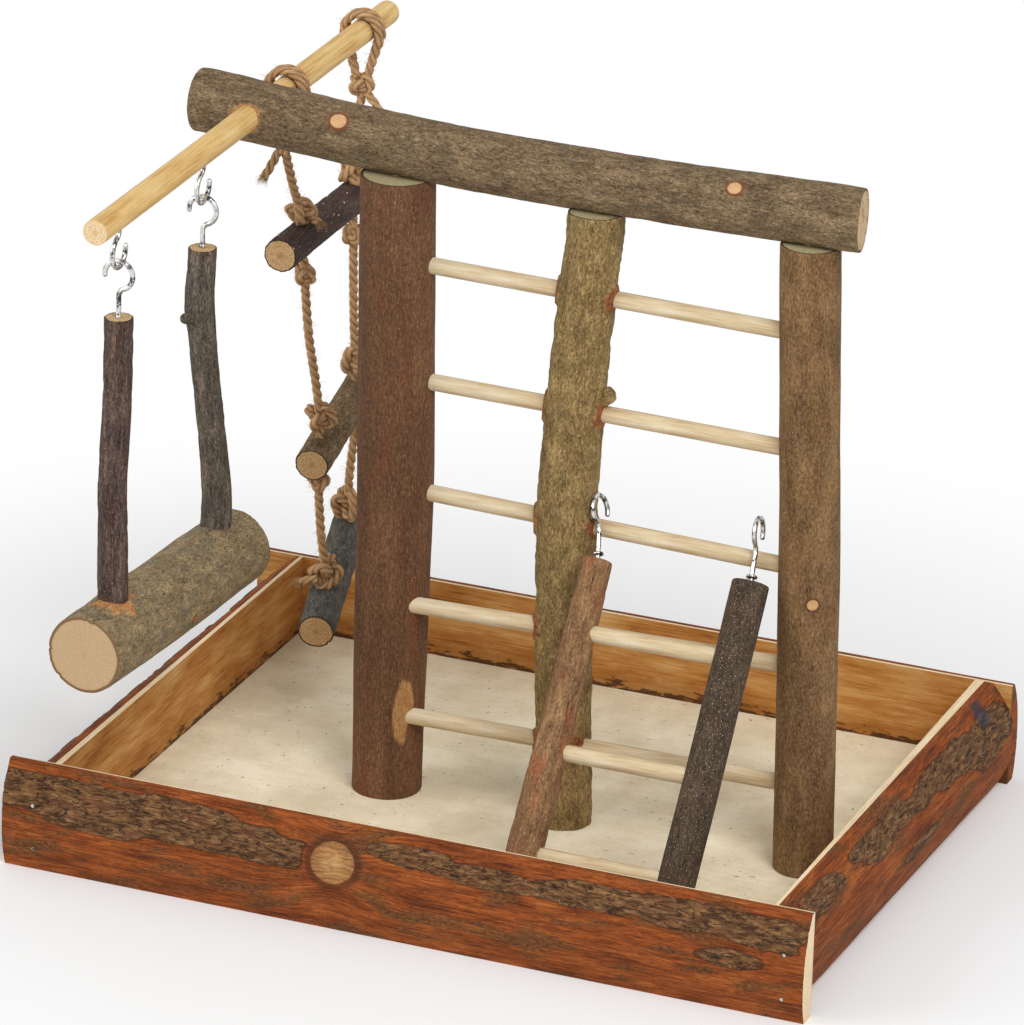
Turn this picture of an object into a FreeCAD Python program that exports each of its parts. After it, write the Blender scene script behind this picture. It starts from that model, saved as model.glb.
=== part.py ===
import FreeCAD
import Part
import Sketcher
import math
import os
import re

from FreeCAD import Vector

# A parrot play stand: a tray of bark-edged boards, three branch posts with ladder rungs, a top log,
# a perch dowel that carries a swing and a rope ladder, and a small ladder that leans on the third rung.
# Millimetres, X to the right, Y to the back, Z up, origin under the middle of the tray.

SIZES = {
    # tray
    "tray_length": 400.0,
    "tray_depth": 280.0,
    "board_height": 52.0,
    "floor_thickness": 12.0,
    "left_inset": 25.0,
    "right_inset": 19.0,
    "front_lip": 3.0,
    "front_belly": 12.0,
    "front_foot": 9.0,
    "back_lip": 4.0,
    "back_belly": 12.0,
    "back_foot": 8.0,
    "left_lip_front": 6.0,
    "left_lip_back": 3.5,
    "left_belly": 20.0,
    "left_foot": 14.0,
    "right_lip_front": 3.0,
    "right_lip_back": 9.0,
    "right_belly": 18.0,
    "right_foot": 11.0,
    "saw_allowance": 10.0,
    "nail_diameter": 1.8,
    "nail_length": 28.0,
    "nail_depth_in_board": 9.0,
    "nail_spacing": 11.0,
    "nail_row_drop": 3.3,
    # posts
    "post_row_y": -15.5,
    "left_post_inset": 113.0,
    "right_post_inset": 30.6,
    "middle_post_share": 0.43,
    "left_post_foot": 33.2,
    "left_post_middle": 36.4,
    "left_post_top": 35.2,
    "left_post_bow": 1.4,
    "left_post_lean": -0.5,
    "middle_post_foot": 26.6,
    "middle_post_knee": 28.6,
    "middle_post_top": 26.8,
    "middle_post_low_bow": -2.8,
    "middle_post_knee_bow": -3.2,
    "middle_post_high_bow": 1.2,
    "middle_post_lean": 7.6,
    "right_post_foot": 28.0,
    "right_post_middle": 28.4,
    "right_post_top": 27.6,
    "right_post_bow": 1.4,
    "right_post_lean": -9.8,
    "stub_diameter": 9.0,
    "stub_length": 4.5,
    "stub_height": 217.0,
    "stub_climb": 5.0,
    "screw_diameter": 4.0,
    "screw_head": 8.0,
    "screw_head_depth": 2.4,
    "screw_length": 40.0,
    # top log
    "log_height": 333.6,
    "log_row_y": -12.5,
    "log_inset": 40.0,
    "log_diameter": 28.6,
    "log_end_diameter": 29.6,
    "log_left_rise": 9.4,
    "log_shoulder_rise": 4.4,
    "log_waist_rise": 0.5,
    "log_right_rise": 1.5,
    "seat_depth": 1.0,
    "seat_margin": 1.0,
    "pin_diameter": 6.0,
    "pin_length": 24.0,
    # ladder rungs
    "rung_diameter": 8.0,
    "rung_insert": 12.0,
    "top_rung_gap": 38.6,
    "low_rung_gap": 42.7,
    "first_rung_drop": 3.7,
    "second_rung_shift": -1.3,
    "second_rung_drop": 2.7,
    "third_rung_shift": -0.4,
    "third_rung_drop": 5.2,
    "fourth_rung_shift": 0.7,
    "fourth_rung_drop": -0.7,
    "fifth_rung_drop": 1.7,
    "low_rung_skew": 8.0,
    # perch dowel
    "dowel_diameter": 12.0,
    "dowel_inset": 25.0,
    "dowel_rise": 8.4,
    "dowel_yaw": 1.17,
    "dowel_front_reach": 185.4,
    "dowel_back_reach": 161.4,
    # bent wire hooks
    "wire_diameter": 2.4,
    "wire_gap": 0.5,
    "thread_length": 9.0,
    "bend_radius": 4.0,
    "hook_tip_drop": 15.0,
    "upper_hook_radius": 7.2,
    "upper_hook_drop": 18.8,
    "lower_hook_radius": 6.8,
    "lower_hook_height": 26.9,
    "back_hook_sunk": 2.0,
    # swing
    "swing_setback": 26.3,
    "swing_span": 94.6,
    "swing_log_drop": 181.2,
    "swing_log_diameter": 37.2,
    "swing_log_front": 23.3,
    "swing_log_back": 31.5,
    "swing_log_yaw": 4.4,
    "swing_log_aside": 0.5,
    "swing_log_swell": 0.6,
    "swing_log_taper": 0.4,
    "swing_foot_spread": 3.0,
    "swing_stick_diameter": 13.0,
    "swing_stick_foot": 14.2,
    "swing_stick_insert": 11.0,
    "front_stick_bow": 1.6,
    "back_stick_bow": -4.6,
    "back_stick_swell": 4.4,
    "swing_stub_length": 9.0,
    "swing_stub_diameter": 6.0,
    "swing_stub_drop": 25.0,
    "swing_stub_rise": 3.0,
    "swing_stub_aside": 1.0,
    # rope ladder
    "rope_diameter": 4.6,
    "rope_slack": 0.3,
    "loop_slack": 0.85,
    "strand_gap": 0.5,
    "rope_hole_gap": 0.7,
    "blind_hole_floor": 2.0,
    "knot_neck": 0.3,
    "rope_rung_bow": 0.4,
    "loop_front_gap": 20.0,
    "loop_back_inset": 32.7,
    "loop_knot_drop": 26.6,
    "loop_knot_width": 13.6,
    "loop_knot_height": 12.0,
    "rope_spacing": 62.6,
    "small_knot_width": 10.5,
    "small_knot_height": 11.7,
    "top_rope_rung_drop": 82.1,
    "top_rope_rung_shift": 6.7,
    "top_rope_rung_front": 27.8,
    "top_rope_rung_back": 24.0,
    "top_rope_rung_diameter": 16.4,
    "top_knot_rise": 14.5,
    "top_knot_fall": 19.5,
    "top_knot_width": 13.5,
    "top_knot_height": 15.7,
    "middle_rope_rung_share": 0.585,
    "middle_rope_rung_shift": 21.5,
    "middle_rope_rung_aside": 0.8,
    "middle_rope_rung_front": 14.0,
    "middle_rope_rung_back": 28.0,
    "middle_rope_rung_diameter": 17.0,
    "middle_rope_rung_yaw": 6.4,
    "middle_rope_rung_tilt": 6.1,
    "middle_knot_rise": 18.6,
    "middle_knot_fall": 14.4,
    "middle_knot_width": 15.0,
    "middle_knot_height": 16.0,
    "bottom_rope_rung_clear": 56.9,
    "bottom_rope_rung_shift": 28.3,
    "bottom_rope_rung_aside": -1.2,
    "bottom_rope_rung_front": 27.0,
    "bottom_rope_rung_back": 18.0,
    "bottom_rope_rung_diameter": 18.0,
    "bottom_rope_rung_yaw": 12.6,
    "bottom_rope_rung_tilt": 10.4,
    "bottom_knot_rise": 16.0,
    "bottom_knot_width": 15.0,
    "bottom_knot_height": 19.0,
    # leaning ladder
    "ramp_foot_gap": 0.5,
    "ramp_foot_clearance": 0.3,
    "ramp_rung_offset": 6.2,
    "ramp_left_gap": 18.7,
    "ramp_right_gap": 27.1,
    "ramp_left_top": 14.4,
    "ramp_right_top": 17.4,
    "ramp_foot_diameter": 17.6,
    "ramp_left_hook_reach": 16.0,
    "ramp_right_hook_reach": 14.0,
    "ramp_hook_height": 31.4,
    "ramp_hook_twist": 15.0,
    "ramp_rung_insert": 8.0,
    "ramp_low_rung": 27.4,
    "ramp_stick_bow": 0.5,
    "ramp_stick_sag": 0.6,
    "ramp_middle_rung_share": 0.463,
    "ramp_high_rung_drop": 34.6,
    "collar_diameter": 6.0,
    "collar_thickness": 1.0,
}

document = FreeCAD.newDocument("parrot_play_stand")
sheet = document.addObject("Spreadsheet::Sheet", "size")
for row, (alias, number) in enumerate(SIZES.items(), start=1):
    sheet.set(f"A{row}", alias)
    sheet.set(f"B{row}", str(number))
    sheet.setAlias(f"B{row}", alias)
document.recompute()


# ---------------------------------------------------------------- sizes and places

def spelled(expression):
    """The expression with each size written as its cell of the sheet."""
    return re.sub(
        r"[a-z][a-z_]*",
        lambda word: "size." + word[0] if word[0] in SIZES else word[0],
        str(expression),
    )


def value(expression):
    """The expression worked out from the sheet."""
    result = sheet.evalExpression(spelled(expression))
    return getattr(result, "Value", result)


def bind(thing, path, expression):
    thing.setExpression(path, spelled(expression))


def spot(x, y, z, turn="rotationz(0)"):
    """A placement, as an expression."""
    return f"placement(vector(({x}); ({y}); ({z})); {turn})"


def rise(low, high, share):
    return f"(({low}) + (({high}) - ({low})) * ({share}))"


LEFT_BOARD = "(left_inset - tray_length / 2)"
RIGHT_BOARD = "(tray_length / 2 - right_inset)"
LEFT_POST = f"({LEFT_BOARD} + left_post_inset)"
RIGHT_POST = f"({RIGHT_BOARD} - right_post_inset)"
MIDDLE_POST = rise(LEFT_POST, RIGHT_POST, "middle_post_share")
LOG_LEFT = "(log_inset - tray_length / 2)"
LOG_RIGHT = "(tray_length / 2 - log_inset)"
LOG_UNDERSIDE = "(log_height - log_diameter / 2)"
LOG_STATIONS = (
    (LOG_LEFT, "log_left_rise", "log_end_diameter"),
    (f"({LOG_LEFT} * 0.6)", "log_shoulder_rise", "log_diameter"),
    (f"({LOG_LEFT} * 0.2)", "log_waist_rise", "log_diameter"),
    (f"({LOG_RIGHT} * 0.4)", "0", "log_diameter"),
    (LOG_RIGHT, "log_right_rise", "log_end_diameter"),
)
POST_FEET = {"left_post": LEFT_POST, "middle_post": MIDDLE_POST, "right_post": RIGHT_POST}
LEANS = {"left_post": "left_post_lean", "middle_post": "middle_post_lean", "right_post": "right_post_lean"}
LOG_BAYS = {"left_post": (1, 2), "middle_post": (2, 3), "right_post": (3, 4)}

DOWEL_HEIGHT = "(log_height + dowel_rise)"
DOWEL_FRAME = f"{spot(f'{LOG_LEFT} + dowel_inset', 'log_row_y', 0, 'rotationz(dowel_yaw)')}"
SWING_FRONT = "(swing_setback - dowel_front_reach)"
SWING_BACK = f"({SWING_FRONT} + swing_span)"
SWING_PIVOT = f"({DOWEL_HEIGHT} - dowel_diameter / 2 - upper_hook_drop)"
LOOP_FRONT = "(log_diameter / 2 + loop_front_gap)"
LOOP_BACK = "(dowel_back_reach - loop_back_inset)"
LOOP_MIDDLE = f"(({LOOP_FRONT} + {LOOP_BACK}) / 2)"


# ---------------------------------------------------------------- sketches, bodies and booleans

# Thin wire and rope have few flat sides; the corners stand out so that the section's area stays true.
ROUND_SHARE = {sides: math.sqrt(2 * math.pi / sides / math.sin(2 * math.pi / sides)) for sides in (6, 8, 16, 20)}
POST_SIDES = 20
STICK_SIDES = 16
WIRE_SIDES = 8
ROPE_SIDES = 6
RING_STEPS = 10


def new_body(name, place=None):
    body = document.addObject("PartDesign::Body", name)
    if place:
        bind(body, "Placement", place)
    return body


def new_sketch(body, role, name, offset=0):
    """A sketch on one of the body's own origin planes, moved along the plane's normal."""
    sketch = body.newObject("Sketcher::SketchObject", name)
    plane = next(face for face in body.Origin.OriginFeatures if face.Role == role)
    sketch.AttachmentSupport = (plane, [""])
    sketch.MapMode = "FlatFace"
    bind(sketch, "AttachmentOffset.Base.z", offset)
    return sketch


def pin_point(sketch, geometry, point, x, y):
    """Hold one point of the sketch at a place measured from the sketch's origin."""
    for kind, expression in (("DistanceX", x), ("DistanceY", y)):
        index = sketch.addConstraint(
            Sketcher.Constraint(kind, -1, 1, geometry, point, value(expression))
        )
        bind(sketch, f"Constraints[{index}]", expression)


def pin_radius(sketch, geometry, radius):
    index = sketch.addConstraint(Sketcher.Constraint("Radius", geometry, value(radius)))
    bind(sketch, f"Constraints[{index}]", radius)


def draw_lines(sketch, points, closed=True):
    """Straight lines through points given as expressions, each point held in place."""
    corners = [Vector(value(x), value(y), 0) for x, y in points]
    ends = corners[1:] + corners[:1] if closed else corners[1:]
    lines = [
        sketch.addGeometry(Part.LineSegment(start, end)) for start, end in zip(corners, ends)
    ]
    for first, second in zip(lines, lines[1:]):
        sketch.addConstraint(Sketcher.Constraint("Coincident", first, 2, second, 1))
    if closed:
        sketch.addConstraint(Sketcher.Constraint("Coincident", lines[-1], 2, lines[0], 1))
    for line, point in zip(lines, points):
        pin_point(sketch, line, 1, *point)
    if not closed:
        pin_point(sketch, lines[-1], 2, *points[-1])


def draw_polygon(sketch, sides, diameter, x="0", y="0"):
    """A regular polygon with the area of the round section that it stands for."""
    reach = f"(({diameter}) / 2 * {ROUND_SHARE[sides]})"
    centre = Vector(value(x), value(y), 0)
    step = 2 * math.pi / sides
    radius = value(reach)
    corners = [
        centre + Vector(radius * math.cos(side * step), radius * math.sin(side * step), 0)
        for side in range(sides)
    ]
    rim = sketch.addGeometry(Part.Circle(centre, Vector(0, 0, 1), radius), True)
    lines = sketch.addGeometry([
        Part.LineSegment(start, end) for start, end in zip(corners, corners[1:] + corners[:1])
    ])
    rules = [Sketcher.Constraint("Horizontal", lines[0], 1, rim, 3)]
    for first, second in zip(lines, lines[1:] + lines[:1]):
        rules.append(Sketcher.Constraint("Coincident", first, 2, second, 1))
    for line in lines:
        rules.append(Sketcher.Constraint("PointOnObject", line, 1, rim))
    for line in lines[2:]:
        rules.append(Sketcher.Constraint("Equal", lines[1], line))
    sketch.addConstraint(rules)
    pin_point(sketch, rim, 3, x, y)
    pin_radius(sketch, rim, reach)


def draw_half_log(sketch, inner, side, lip, belly, foot):
    """The section of a half-log board: a flat face, a sawn top edge and a bulging bark side."""
    corners = [
        (inner, "0"),
        (inner, "board_height"),
        (f"{inner} + {side} * ({lip})", "board_height"),
        (f"{inner} + {side} * ({foot})", "0"),
    ]
    waist = (f"{inner} + {side} * ({belly})", "board_height / 2")
    face_low, face_high, lip_edge, foot_edge = [Vector(value(x), value(y), 0) for x, y in corners]
    middle = Vector(value(waist[0]), value(waist[1]), 0)
    face = sketch.addGeometry(Part.LineSegment(face_low, face_high))
    top = sketch.addGeometry(Part.LineSegment(face_high, lip_edge))
    bottom = sketch.addGeometry(Part.LineSegment(foot_edge, face_low))
    mark = sketch.addGeometry(Part.Point(middle), True)
    if side > 0:
        bark = sketch.addGeometry(Part.Arc(foot_edge, middle, lip_edge))
    else:
        bark = sketch.addGeometry(Part.Arc(lip_edge, middle, foot_edge))
    lip_end = 2 if side > 0 else 1
    sketch.addConstraint(Sketcher.Constraint("Coincident", face, 2, top, 1))
    sketch.addConstraint(Sketcher.Constraint("Coincident", bottom, 2, face, 1))
    sketch.addConstraint(Sketcher.Constraint("Coincident", top, 2, bark, lip_end))
    sketch.addConstraint(Sketcher.Constraint("Coincident", bottom, 1, bark, 3 - lip_end))
    pin_point(sketch, face, 1, *corners[0])
    pin_point(sketch, face, 2, *corners[1])
    pin_point(sketch, top, 2, *corners[2])
    pin_point(sketch, bottom, 1, *corners[3])
    pin_point(sketch, mark, 1, *waist)
    sketch.addConstraint(Sketcher.Constraint("PointOnObject", mark, 1, bark))


def loft(body, sections):
    solid = body.newObject("PartDesign::AdditiveLoft", f"{body.Name}_loft")
    solid.Profile = (sections[0], [""])
    solid.Sections = [(section, [""]) for section in sections[1:]]
    solid.Ruled = True
    return body


def branch(name, role, stations, place=None, sides=STICK_SIDES):
    """A natural branch: round stations (way along, two offsets, diameter) with a loft through them."""
    body = new_body(name, place)
    sections = []
    for number, (along, side, height, diameter) in enumerate(stations, start=1):
        sketch = new_sketch(body, role, f"{name}_section_{number}", along)
        draw_polygon(sketch, sides, diameter, side, height)
        sections.append(sketch)
    return loft(body, sections)


def rod(name, start, end, diameter, frame=None, sides=STICK_SIDES):
    """A rod between two points given as expressions: round, or with flat sides of the same section area."""
    run = [f"(({high}) - ({low}))" for low, high in zip(start, end)]
    length = f"sqrt({run[0]} ^ 2 + {run[1]} ^ 2 + {run[2]} ^ 2)"
    turn = f"rotationz(atan2({run[1]}; {run[0]})) * rotationy(acos({run[2]} / {length}))"
    if sides:
        bar = document.addObject("Part::Prism", name)
        bar.Polygon = sides
        bind(bar, "Circumradius", f"({diameter}) / 2 * {ROUND_SHARE[sides]}")
    else:
        bar = document.addObject("Part::Cylinder", name)
        bind(bar, "Radius", f"({diameter}) / 2")
    bind(bar, "Height", length)
    place = spot(*start, turn)
    bind(bar, "Placement", f"{frame} * {place}" if frame else place)
    return bar


def fuse(name, *members):
    union = document.addObject("Part::MultiFuse", name)
    union.Shapes = list(members)
    return union


def group(name, *members):
    """Separate solids that share one file."""
    together = document.addObject("Part::Compound", name)
    together.Links = list(members)
    return together


def cut(name, base, *tools):
    result = document.addObject("Part::Cut", name)
    result.Base = base
    result.Tool = tools[0] if len(tools) == 1 else fuse(f"{name}_cutters", *tools)
    return result


# ---------------------------------------------------------------- tray

def long_board(name, side, lip, belly, foot):
    body = new_body(name)
    section = new_sketch(body, "YZ_Plane", f"{name}_section")
    draw_half_log(section, f"{side} * tray_depth / 2", side, lip, belly, foot)
    pad = body.newObject("PartDesign::Pad", f"{name}_pad")
    pad.Profile = section
    pad.SideType = "Symmetric"
    bind(pad, "Length", "tray_length")
    return body


def side_board(name, inner, side, front_lip, back_lip, belly, foot):
    """A side board sawn a little off its log's line, so that its top edge widens from one end to the other."""
    body = new_body(f"{name}_half_log")
    section = new_sketch(body, "XZ_Plane", f"{name}_section")
    lip = f"({front_lip} + {back_lip}) / 2"
    spare = [f"saw_allowance + {width}" for width in (lip, belly, foot)]
    draw_half_log(section, f"(-{side} * saw_allowance)", side, *spare)
    pad = body.newObject("PartDesign::Pad", f"{name}_pad")
    pad.Profile = section
    pad.SideType = "Symmetric"
    bind(pad, "Length", "tray_depth + 4 * saw_allowance")
    skew = f"rotationz(-{side} * atan(({back_lip} - {front_lip}) / tray_depth))"
    bind(body, "Placement", spot(inner, 0, 0, skew))
    limit = document.addObject("Part::Box", f"{name}_limit")
    bind(limit, "Length", f"3 * {belly}")
    bind(limit, "Width", "tray_depth")
    bind(limit, "Height", "board_height")
    corner = inner if side > 0 else f"{inner} - 3 * {belly}"
    bind(limit, "Placement", spot(corner, "-tray_depth / 2", 0))
    board = document.addObject("Part::Common", name)
    board.Base = body
    board.Tool = limit
    return board


def tray_nails():
    """Three brads at each corner, through the long board into the end of the side board."""
    nails = []
    for board, inner, side in (("left", LEFT_BOARD, -1), ("right", RIGHT_BOARD, 1)):
        for end, way, belly in (("front", -1, "front_belly"), ("back", 1, "back_belly")):
            outside = f"{way} * (tray_depth / 2 + {belly})"
            inside = f"{outside} - {way} * nail_length"
            for number in range(3):
                x = f"{inner} + {side} * nail_depth_in_board"
                z = f"board_height / 2 - nail_row_drop + ({number} - 1) * nail_spacing"
                start = (x, outside, z)
                name = f"nail_{board}_{end}_{number + 1}"
                nails.append(rod(name, start, (x, inside, z), "nail_diameter", sides=ROPE_SIDES))
    return group("corner_nails", *nails)


def build_tray():
    nails = tray_nails()
    front = long_board("front_board_blank", -1, "front_lip", "front_belly", "front_foot")
    back = long_board("back_board_blank", 1, "back_lip", "back_belly", "back_foot")
    left = side_board(
        "left_board_blank", LEFT_BOARD, -1, "left_lip_front", "left_lip_back", "left_belly", "left_foot"
    )
    right = side_board(
        "right_board_blank", RIGHT_BOARD, 1, "right_lip_front", "right_lip_back", "right_belly", "right_foot"
    )
    floor = document.addObject("Part::Box", "floor_blank")
    bind(floor, "Length", f"{RIGHT_BOARD} - {LEFT_BOARD}")
    bind(floor, "Width", "tray_depth")
    bind(floor, "Height", "floor_thickness")
    bind(floor, "Placement", spot(LEFT_BOARD, "-tray_depth / 2", 0))
    screws = group("post_screws", *[post_screw(name, x) for name, x in POST_FEET.items()])
    return [
        cut("front_board", front, nails),
        cut("back_board", back, nails),
        cut("left_board", left, nails),
        cut("right_board", right, nails),
        cut("floor_panel", floor, screws),
        nails,
        screws,
    ]


def post_screw(name, x):
    """A screw from under the floor into the post's foot, its head let in flush."""
    foot = (x, "post_row_y", 0)
    rim = (x, "post_row_y", "screw_head_depth")
    point = (x, "post_row_y", "screw_length")
    head = rod(f"{name}_screw_head", foot, rim, "screw_head", sides=WIRE_SIDES)
    shank = rod(f"{name}_screw_shank", foot, point, "screw_diameter", sides=WIRE_SIDES)
    return fuse(f"{name}_screw", head, shank)


# ---------------------------------------------------------------- posts, ladder rungs and top log

def post_top(name):
    """The height of a post's seat, let into the log's underside where the post stands."""
    low, high = LOG_BAYS[name]
    start, start_rise, start_girth = LOG_STATIONS[low]
    end, end_rise, end_girth = LOG_STATIONS[high]
    x = f"({POST_FEET[name]} + {LEANS[name]})"
    share = f"({x} - {start}) / ({end} - {start})"
    middle = rise(f"({start_rise})", f"({end_rise})", share)
    girth = rise(start_girth, end_girth, share)
    return f"(log_height + {middle} - {girth} / 2 + seat_depth)"


def post(name, stations):
    """A post from the floor to the flat seat under the log; stations are (share of height, bow, diameter)."""
    rows = []
    for share, bow, girth in stations:
        height = rise("floor_thickness", post_top(name), share)
        rows.append((height, f"{POST_FEET[name]} + {bow}", "post_row_y", girth))
    return branch(f"{name}_blank", "XY_Plane", rows, sides=POST_SIDES)


RUNG_START = f"({LEFT_POST} + left_post_top / 2 - rung_insert)"
RUNG_END = f"({RIGHT_POST} + right_post_lean / 2 - right_post_top / 2 + rung_insert)"
TOP_RUNG_HEIGHT = f"({LOG_UNDERSIDE} - top_rung_gap)"
LOW_RUNG_HEIGHT = "(floor_thickness + low_rung_gap)"


def ladder_rungs():
    """Five rungs from inside the left post, through the middle post, into the right post."""
    rungs = []
    plan = (
        (0, "0", "first_rung_drop", "0"),
        (1, "second_rung_shift", "second_rung_drop", "0"),
        (2, "third_rung_shift", "third_rung_drop", "0"),
        (3, "fourth_rung_shift", "fourth_rung_drop", "low_rung_skew"),
        (4, "0", "fifth_rung_drop", "low_rung_skew"),
    )
    for step, shift, drop, skew in plan:
        height = f"({rise(TOP_RUNG_HEIGHT, LOW_RUNG_HEIGHT, f'{step} / 4')} + {shift})"
        start = (RUNG_START, f"post_row_y - {skew}", height)
        end = (RUNG_END, "post_row_y", f"{height} - ({drop})")
        rungs.append(rod(f"ladder_rung_{step + 1}", start, end, "rung_diameter"))
    return rungs


def build_frame():
    rungs = ladder_rungs()
    left = post(
        "left_post",
        (
            ("0", "0", "left_post_foot"),
            ("0.5", "left_post_bow", "left_post_middle"),
            ("1", "left_post_lean", "left_post_top"),
        ),
    )
    middle = post(
        "middle_post",
        (
            ("0", "0", "middle_post_foot"),
            ("0.3", "middle_post_low_bow", "middle_post_foot"),
            ("0.54", "middle_post_knee_bow", "middle_post_knee"),
            ("0.77", "middle_post_high_bow", "middle_post_top"),
            ("1", "middle_post_lean", "middle_post_top"),
        ),
    )
    right = post(
        "right_post",
        (
            ("0", "0", "right_post_foot"),
            ("0.5", "right_post_lean / 2 + right_post_bow", "right_post_middle"),
            ("1", "right_post_lean", "right_post_top"),
        ),
    )
    return rungs, left, middle, right


def build_log():
    """The top log, with a flat seat and a hidden pin over each post, and the dowel through its left end."""
    rows = [(x, "log_row_y", f"log_height + {lift}", girth) for x, lift, girth in LOG_STATIONS]
    blank = branch("top_log_blank", "YZ_Plane", rows, sides=POST_SIDES)
    pins = []
    seats = []
    for name, x in POST_FEET.items():
        top_x = f"{x} + {LEANS[name]}"
        top = post_top(name)
        low = (top_x, "post_row_y", f"{top} - pin_length / 2")
        high = (top_x, "post_row_y", f"{top} + pin_length / 2")
        pins.append(rod(f"{name}_pin", low, high, "pin_diameter", sides=WIRE_SIDES))
        foot = (top_x, "post_row_y", f"{top} - log_diameter / 2")
        seats.append(rod(f"{name}_seat", foot, (top_x, "post_row_y", top), f"{name}_top + 2 * seat_margin"))
    return blank, group("log_pins", *pins), seats


# ---------------------------------------------------------------- bent wire hooks

def hook(name, height, radius, place):
    """A screw hook: a thread in the wood, a shank, a small bend, then a ring left open at one side."""
    body = new_body(name, place)
    centre = f"({height} - {radius})"
    climb = f"sqrt({radius} ^ 2 + 2 * {radius} * bend_radius)"
    bend_height = f"({centre} - {climb})"
    meet = f"atan2(-{climb}; bend_radius)"
    sweep = f"(180 deg + hook_tip_drop * 1 deg - {meet})"
    points = [("0", "-thread_length"), ("0", bend_height)]
    half = f"(180 deg + {meet} / 2)"
    points.append((f"bend_radius + bend_radius * cos({half})", f"{bend_height} + bend_radius * sin({half})"))
    for step in range(RING_STEPS + 1):
        turn = f"({meet} + {sweep} * {step / RING_STEPS})"
        points.append((f"{radius} * cos({turn})", f"{centre} + {radius} * sin({turn})"))
    path = new_sketch(body, "XZ_Plane", f"{name}_path")
    draw_lines(path, points, closed=False)
    wire = new_sketch(body, "XY_Plane", f"{name}_wire", "-thread_length")
    draw_polygon(wire, WIRE_SIDES, "wire_diameter")
    pipe = body.newObject("PartDesign::AdditivePipe", f"{name}_pipe")
    pipe.Profile = wire
    pipe.Spine = (path, [""])
    pipe.Transition = "Right corner"
    return body


# ---------------------------------------------------------------- perch dowel and swing

def build_dowel():
    start = ("0", "-dowel_front_reach", DOWEL_HEIGHT)
    return rod("perch_dowel_blank", start, ("0", "dowel_back_reach", DOWEL_HEIGHT), "dowel_diameter", DOWEL_FRAME, 0)


def build_swing_hooks():
    """Two rings up under the dowel and two rings on the stick tops that hang in them."""
    underside = f"{DOWEL_HEIGHT} - dowel_diameter / 2"
    turned = "rotationz(-90) * rotationx(180)"
    hooks = {}
    for end, along, sunk in (("front", SWING_FRONT, "0"), ("back", SWING_BACK, "back_hook_sunk")):
        upper = f"{DOWEL_FRAME} * {spot(0, along, underside, turned)}"
        hooks[f"swing_upper_hook_{end}"] = hook(
            f"swing_upper_hook_{end}", "upper_hook_drop", "upper_hook_radius", upper
        )
        height = f"(lower_hook_height - {sunk})"
        lower = f"{DOWEL_FRAME} * {spot(0, along, f'{SWING_PIVOT} + wire_diameter + wire_gap - {height}')}"
        hooks[f"swing_lower_hook_{end}"] = hook(f"swing_lower_hook_{end}", height, "lower_hook_radius", lower)
    return hooks


def stick_top(sunk):
    return f"({SWING_PIVOT} + wire_diameter + wire_gap - lower_hook_height + {sunk})"


SWING_LOG_HEIGHT = f"({SWING_PIVOT} - swing_log_drop)"
STICK_FOOT = f"({SWING_LOG_HEIGHT} + swing_log_diameter / 2 - swing_stick_insert)"
STICK_DRIFT = "((swing_span + swing_foot_spread) / 2 * tan(swing_log_yaw))"


def swing_stick(name, along, sunk, side, stations):
    """A crooked stick from its hook down into the swing log; stations are (share of drop, bow, diameter)."""
    rows = []
    for share, bow, girth in stations:
        height = rise(stick_top(sunk), STICK_FOOT, share)
        rows.append((height, f"{side} * {STICK_DRIFT} * {share}", f"{along} + {bow}", girth))
    return branch(name, "XY_Plane", rows, DOWEL_FRAME)


def build_swing():
    hooks = build_swing_hooks()
    front = swing_stick(
        "swing_stick_front_blank",
        SWING_FRONT,
        "0",
        -1,
        (
            ("0", "0", "swing_stick_diameter"),
            ("0.27", "front_stick_bow", "swing_stick_diameter"),
            ("0.53", "-front_stick_bow", "swing_stick_diameter"),
            ("1", "2 * front_stick_bow", "swing_stick_foot"),
        ),
    )
    back = swing_stick(
        "swing_stick_back_blank",
        SWING_BACK,
        "back_hook_sunk",
        1,
        (
            ("0", "0", "swing_stick_diameter"),
            ("0.16", "back_stick_bow", "swing_stick_diameter"),
            ("0.36", "0", "swing_stick_diameter"),
            ("0.65", "2 * back_stick_swell", "swing_stick_diameter"),
            ("0.86", "3 * back_stick_swell", "swing_stick_foot"),
            ("1", "2 * back_stick_swell", "swing_stick_foot"),
        ),
    )
    stub_height = f"({stick_top('back_hook_sunk')} - swing_stub_drop)"
    stub_root = ("0", f"{SWING_BACK} + back_stick_bow", f"{stub_height} - swing_stub_rise")
    stub_reach = "swing_stick_diameter / 2 + swing_stub_length / 3"
    stub_tip = ("-swing_stub_aside", f"{SWING_BACK} + back_stick_bow - ({stub_reach})", stub_height)
    stub = rod("swing_stick_stub", stub_root, stub_tip, "swing_stub_diameter", DOWEL_FRAME)
    back = fuse("swing_stick_back_whole", back, stub)
    log_front = f"({SWING_FRONT} - swing_log_front)"
    log_back = f"({SWING_BACK} + swing_log_back)"
    middle = f"(({log_front} + {log_back}) / 2)"
    log_blank = branch(
        "swing_log_blank",
        "XZ_Plane",
        (
            (f"({log_back} - {log_front}) / 2", "0", "0", "swing_log_diameter"),
            ("0", "0", "-swing_log_swell", "swing_log_diameter + swing_log_swell"),
            (f"({log_front} - {log_back}) / 2", "0", "0", "swing_log_diameter - swing_log_taper"),
        ),
        f"{DOWEL_FRAME} * {spot('-swing_log_aside', middle, SWING_LOG_HEIGHT, 'rotationz(-swing_log_yaw)')}",
    )
    front_stick = cut("swing_stick_front", front, hooks["swing_lower_hook_front"])
    back_stick = cut("swing_stick_back", back, hooks["swing_lower_hook_back"])
    log = cut("swing_log", log_blank, front, back)
    return [*hooks.values(), front_stick, back_stick, log]


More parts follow.
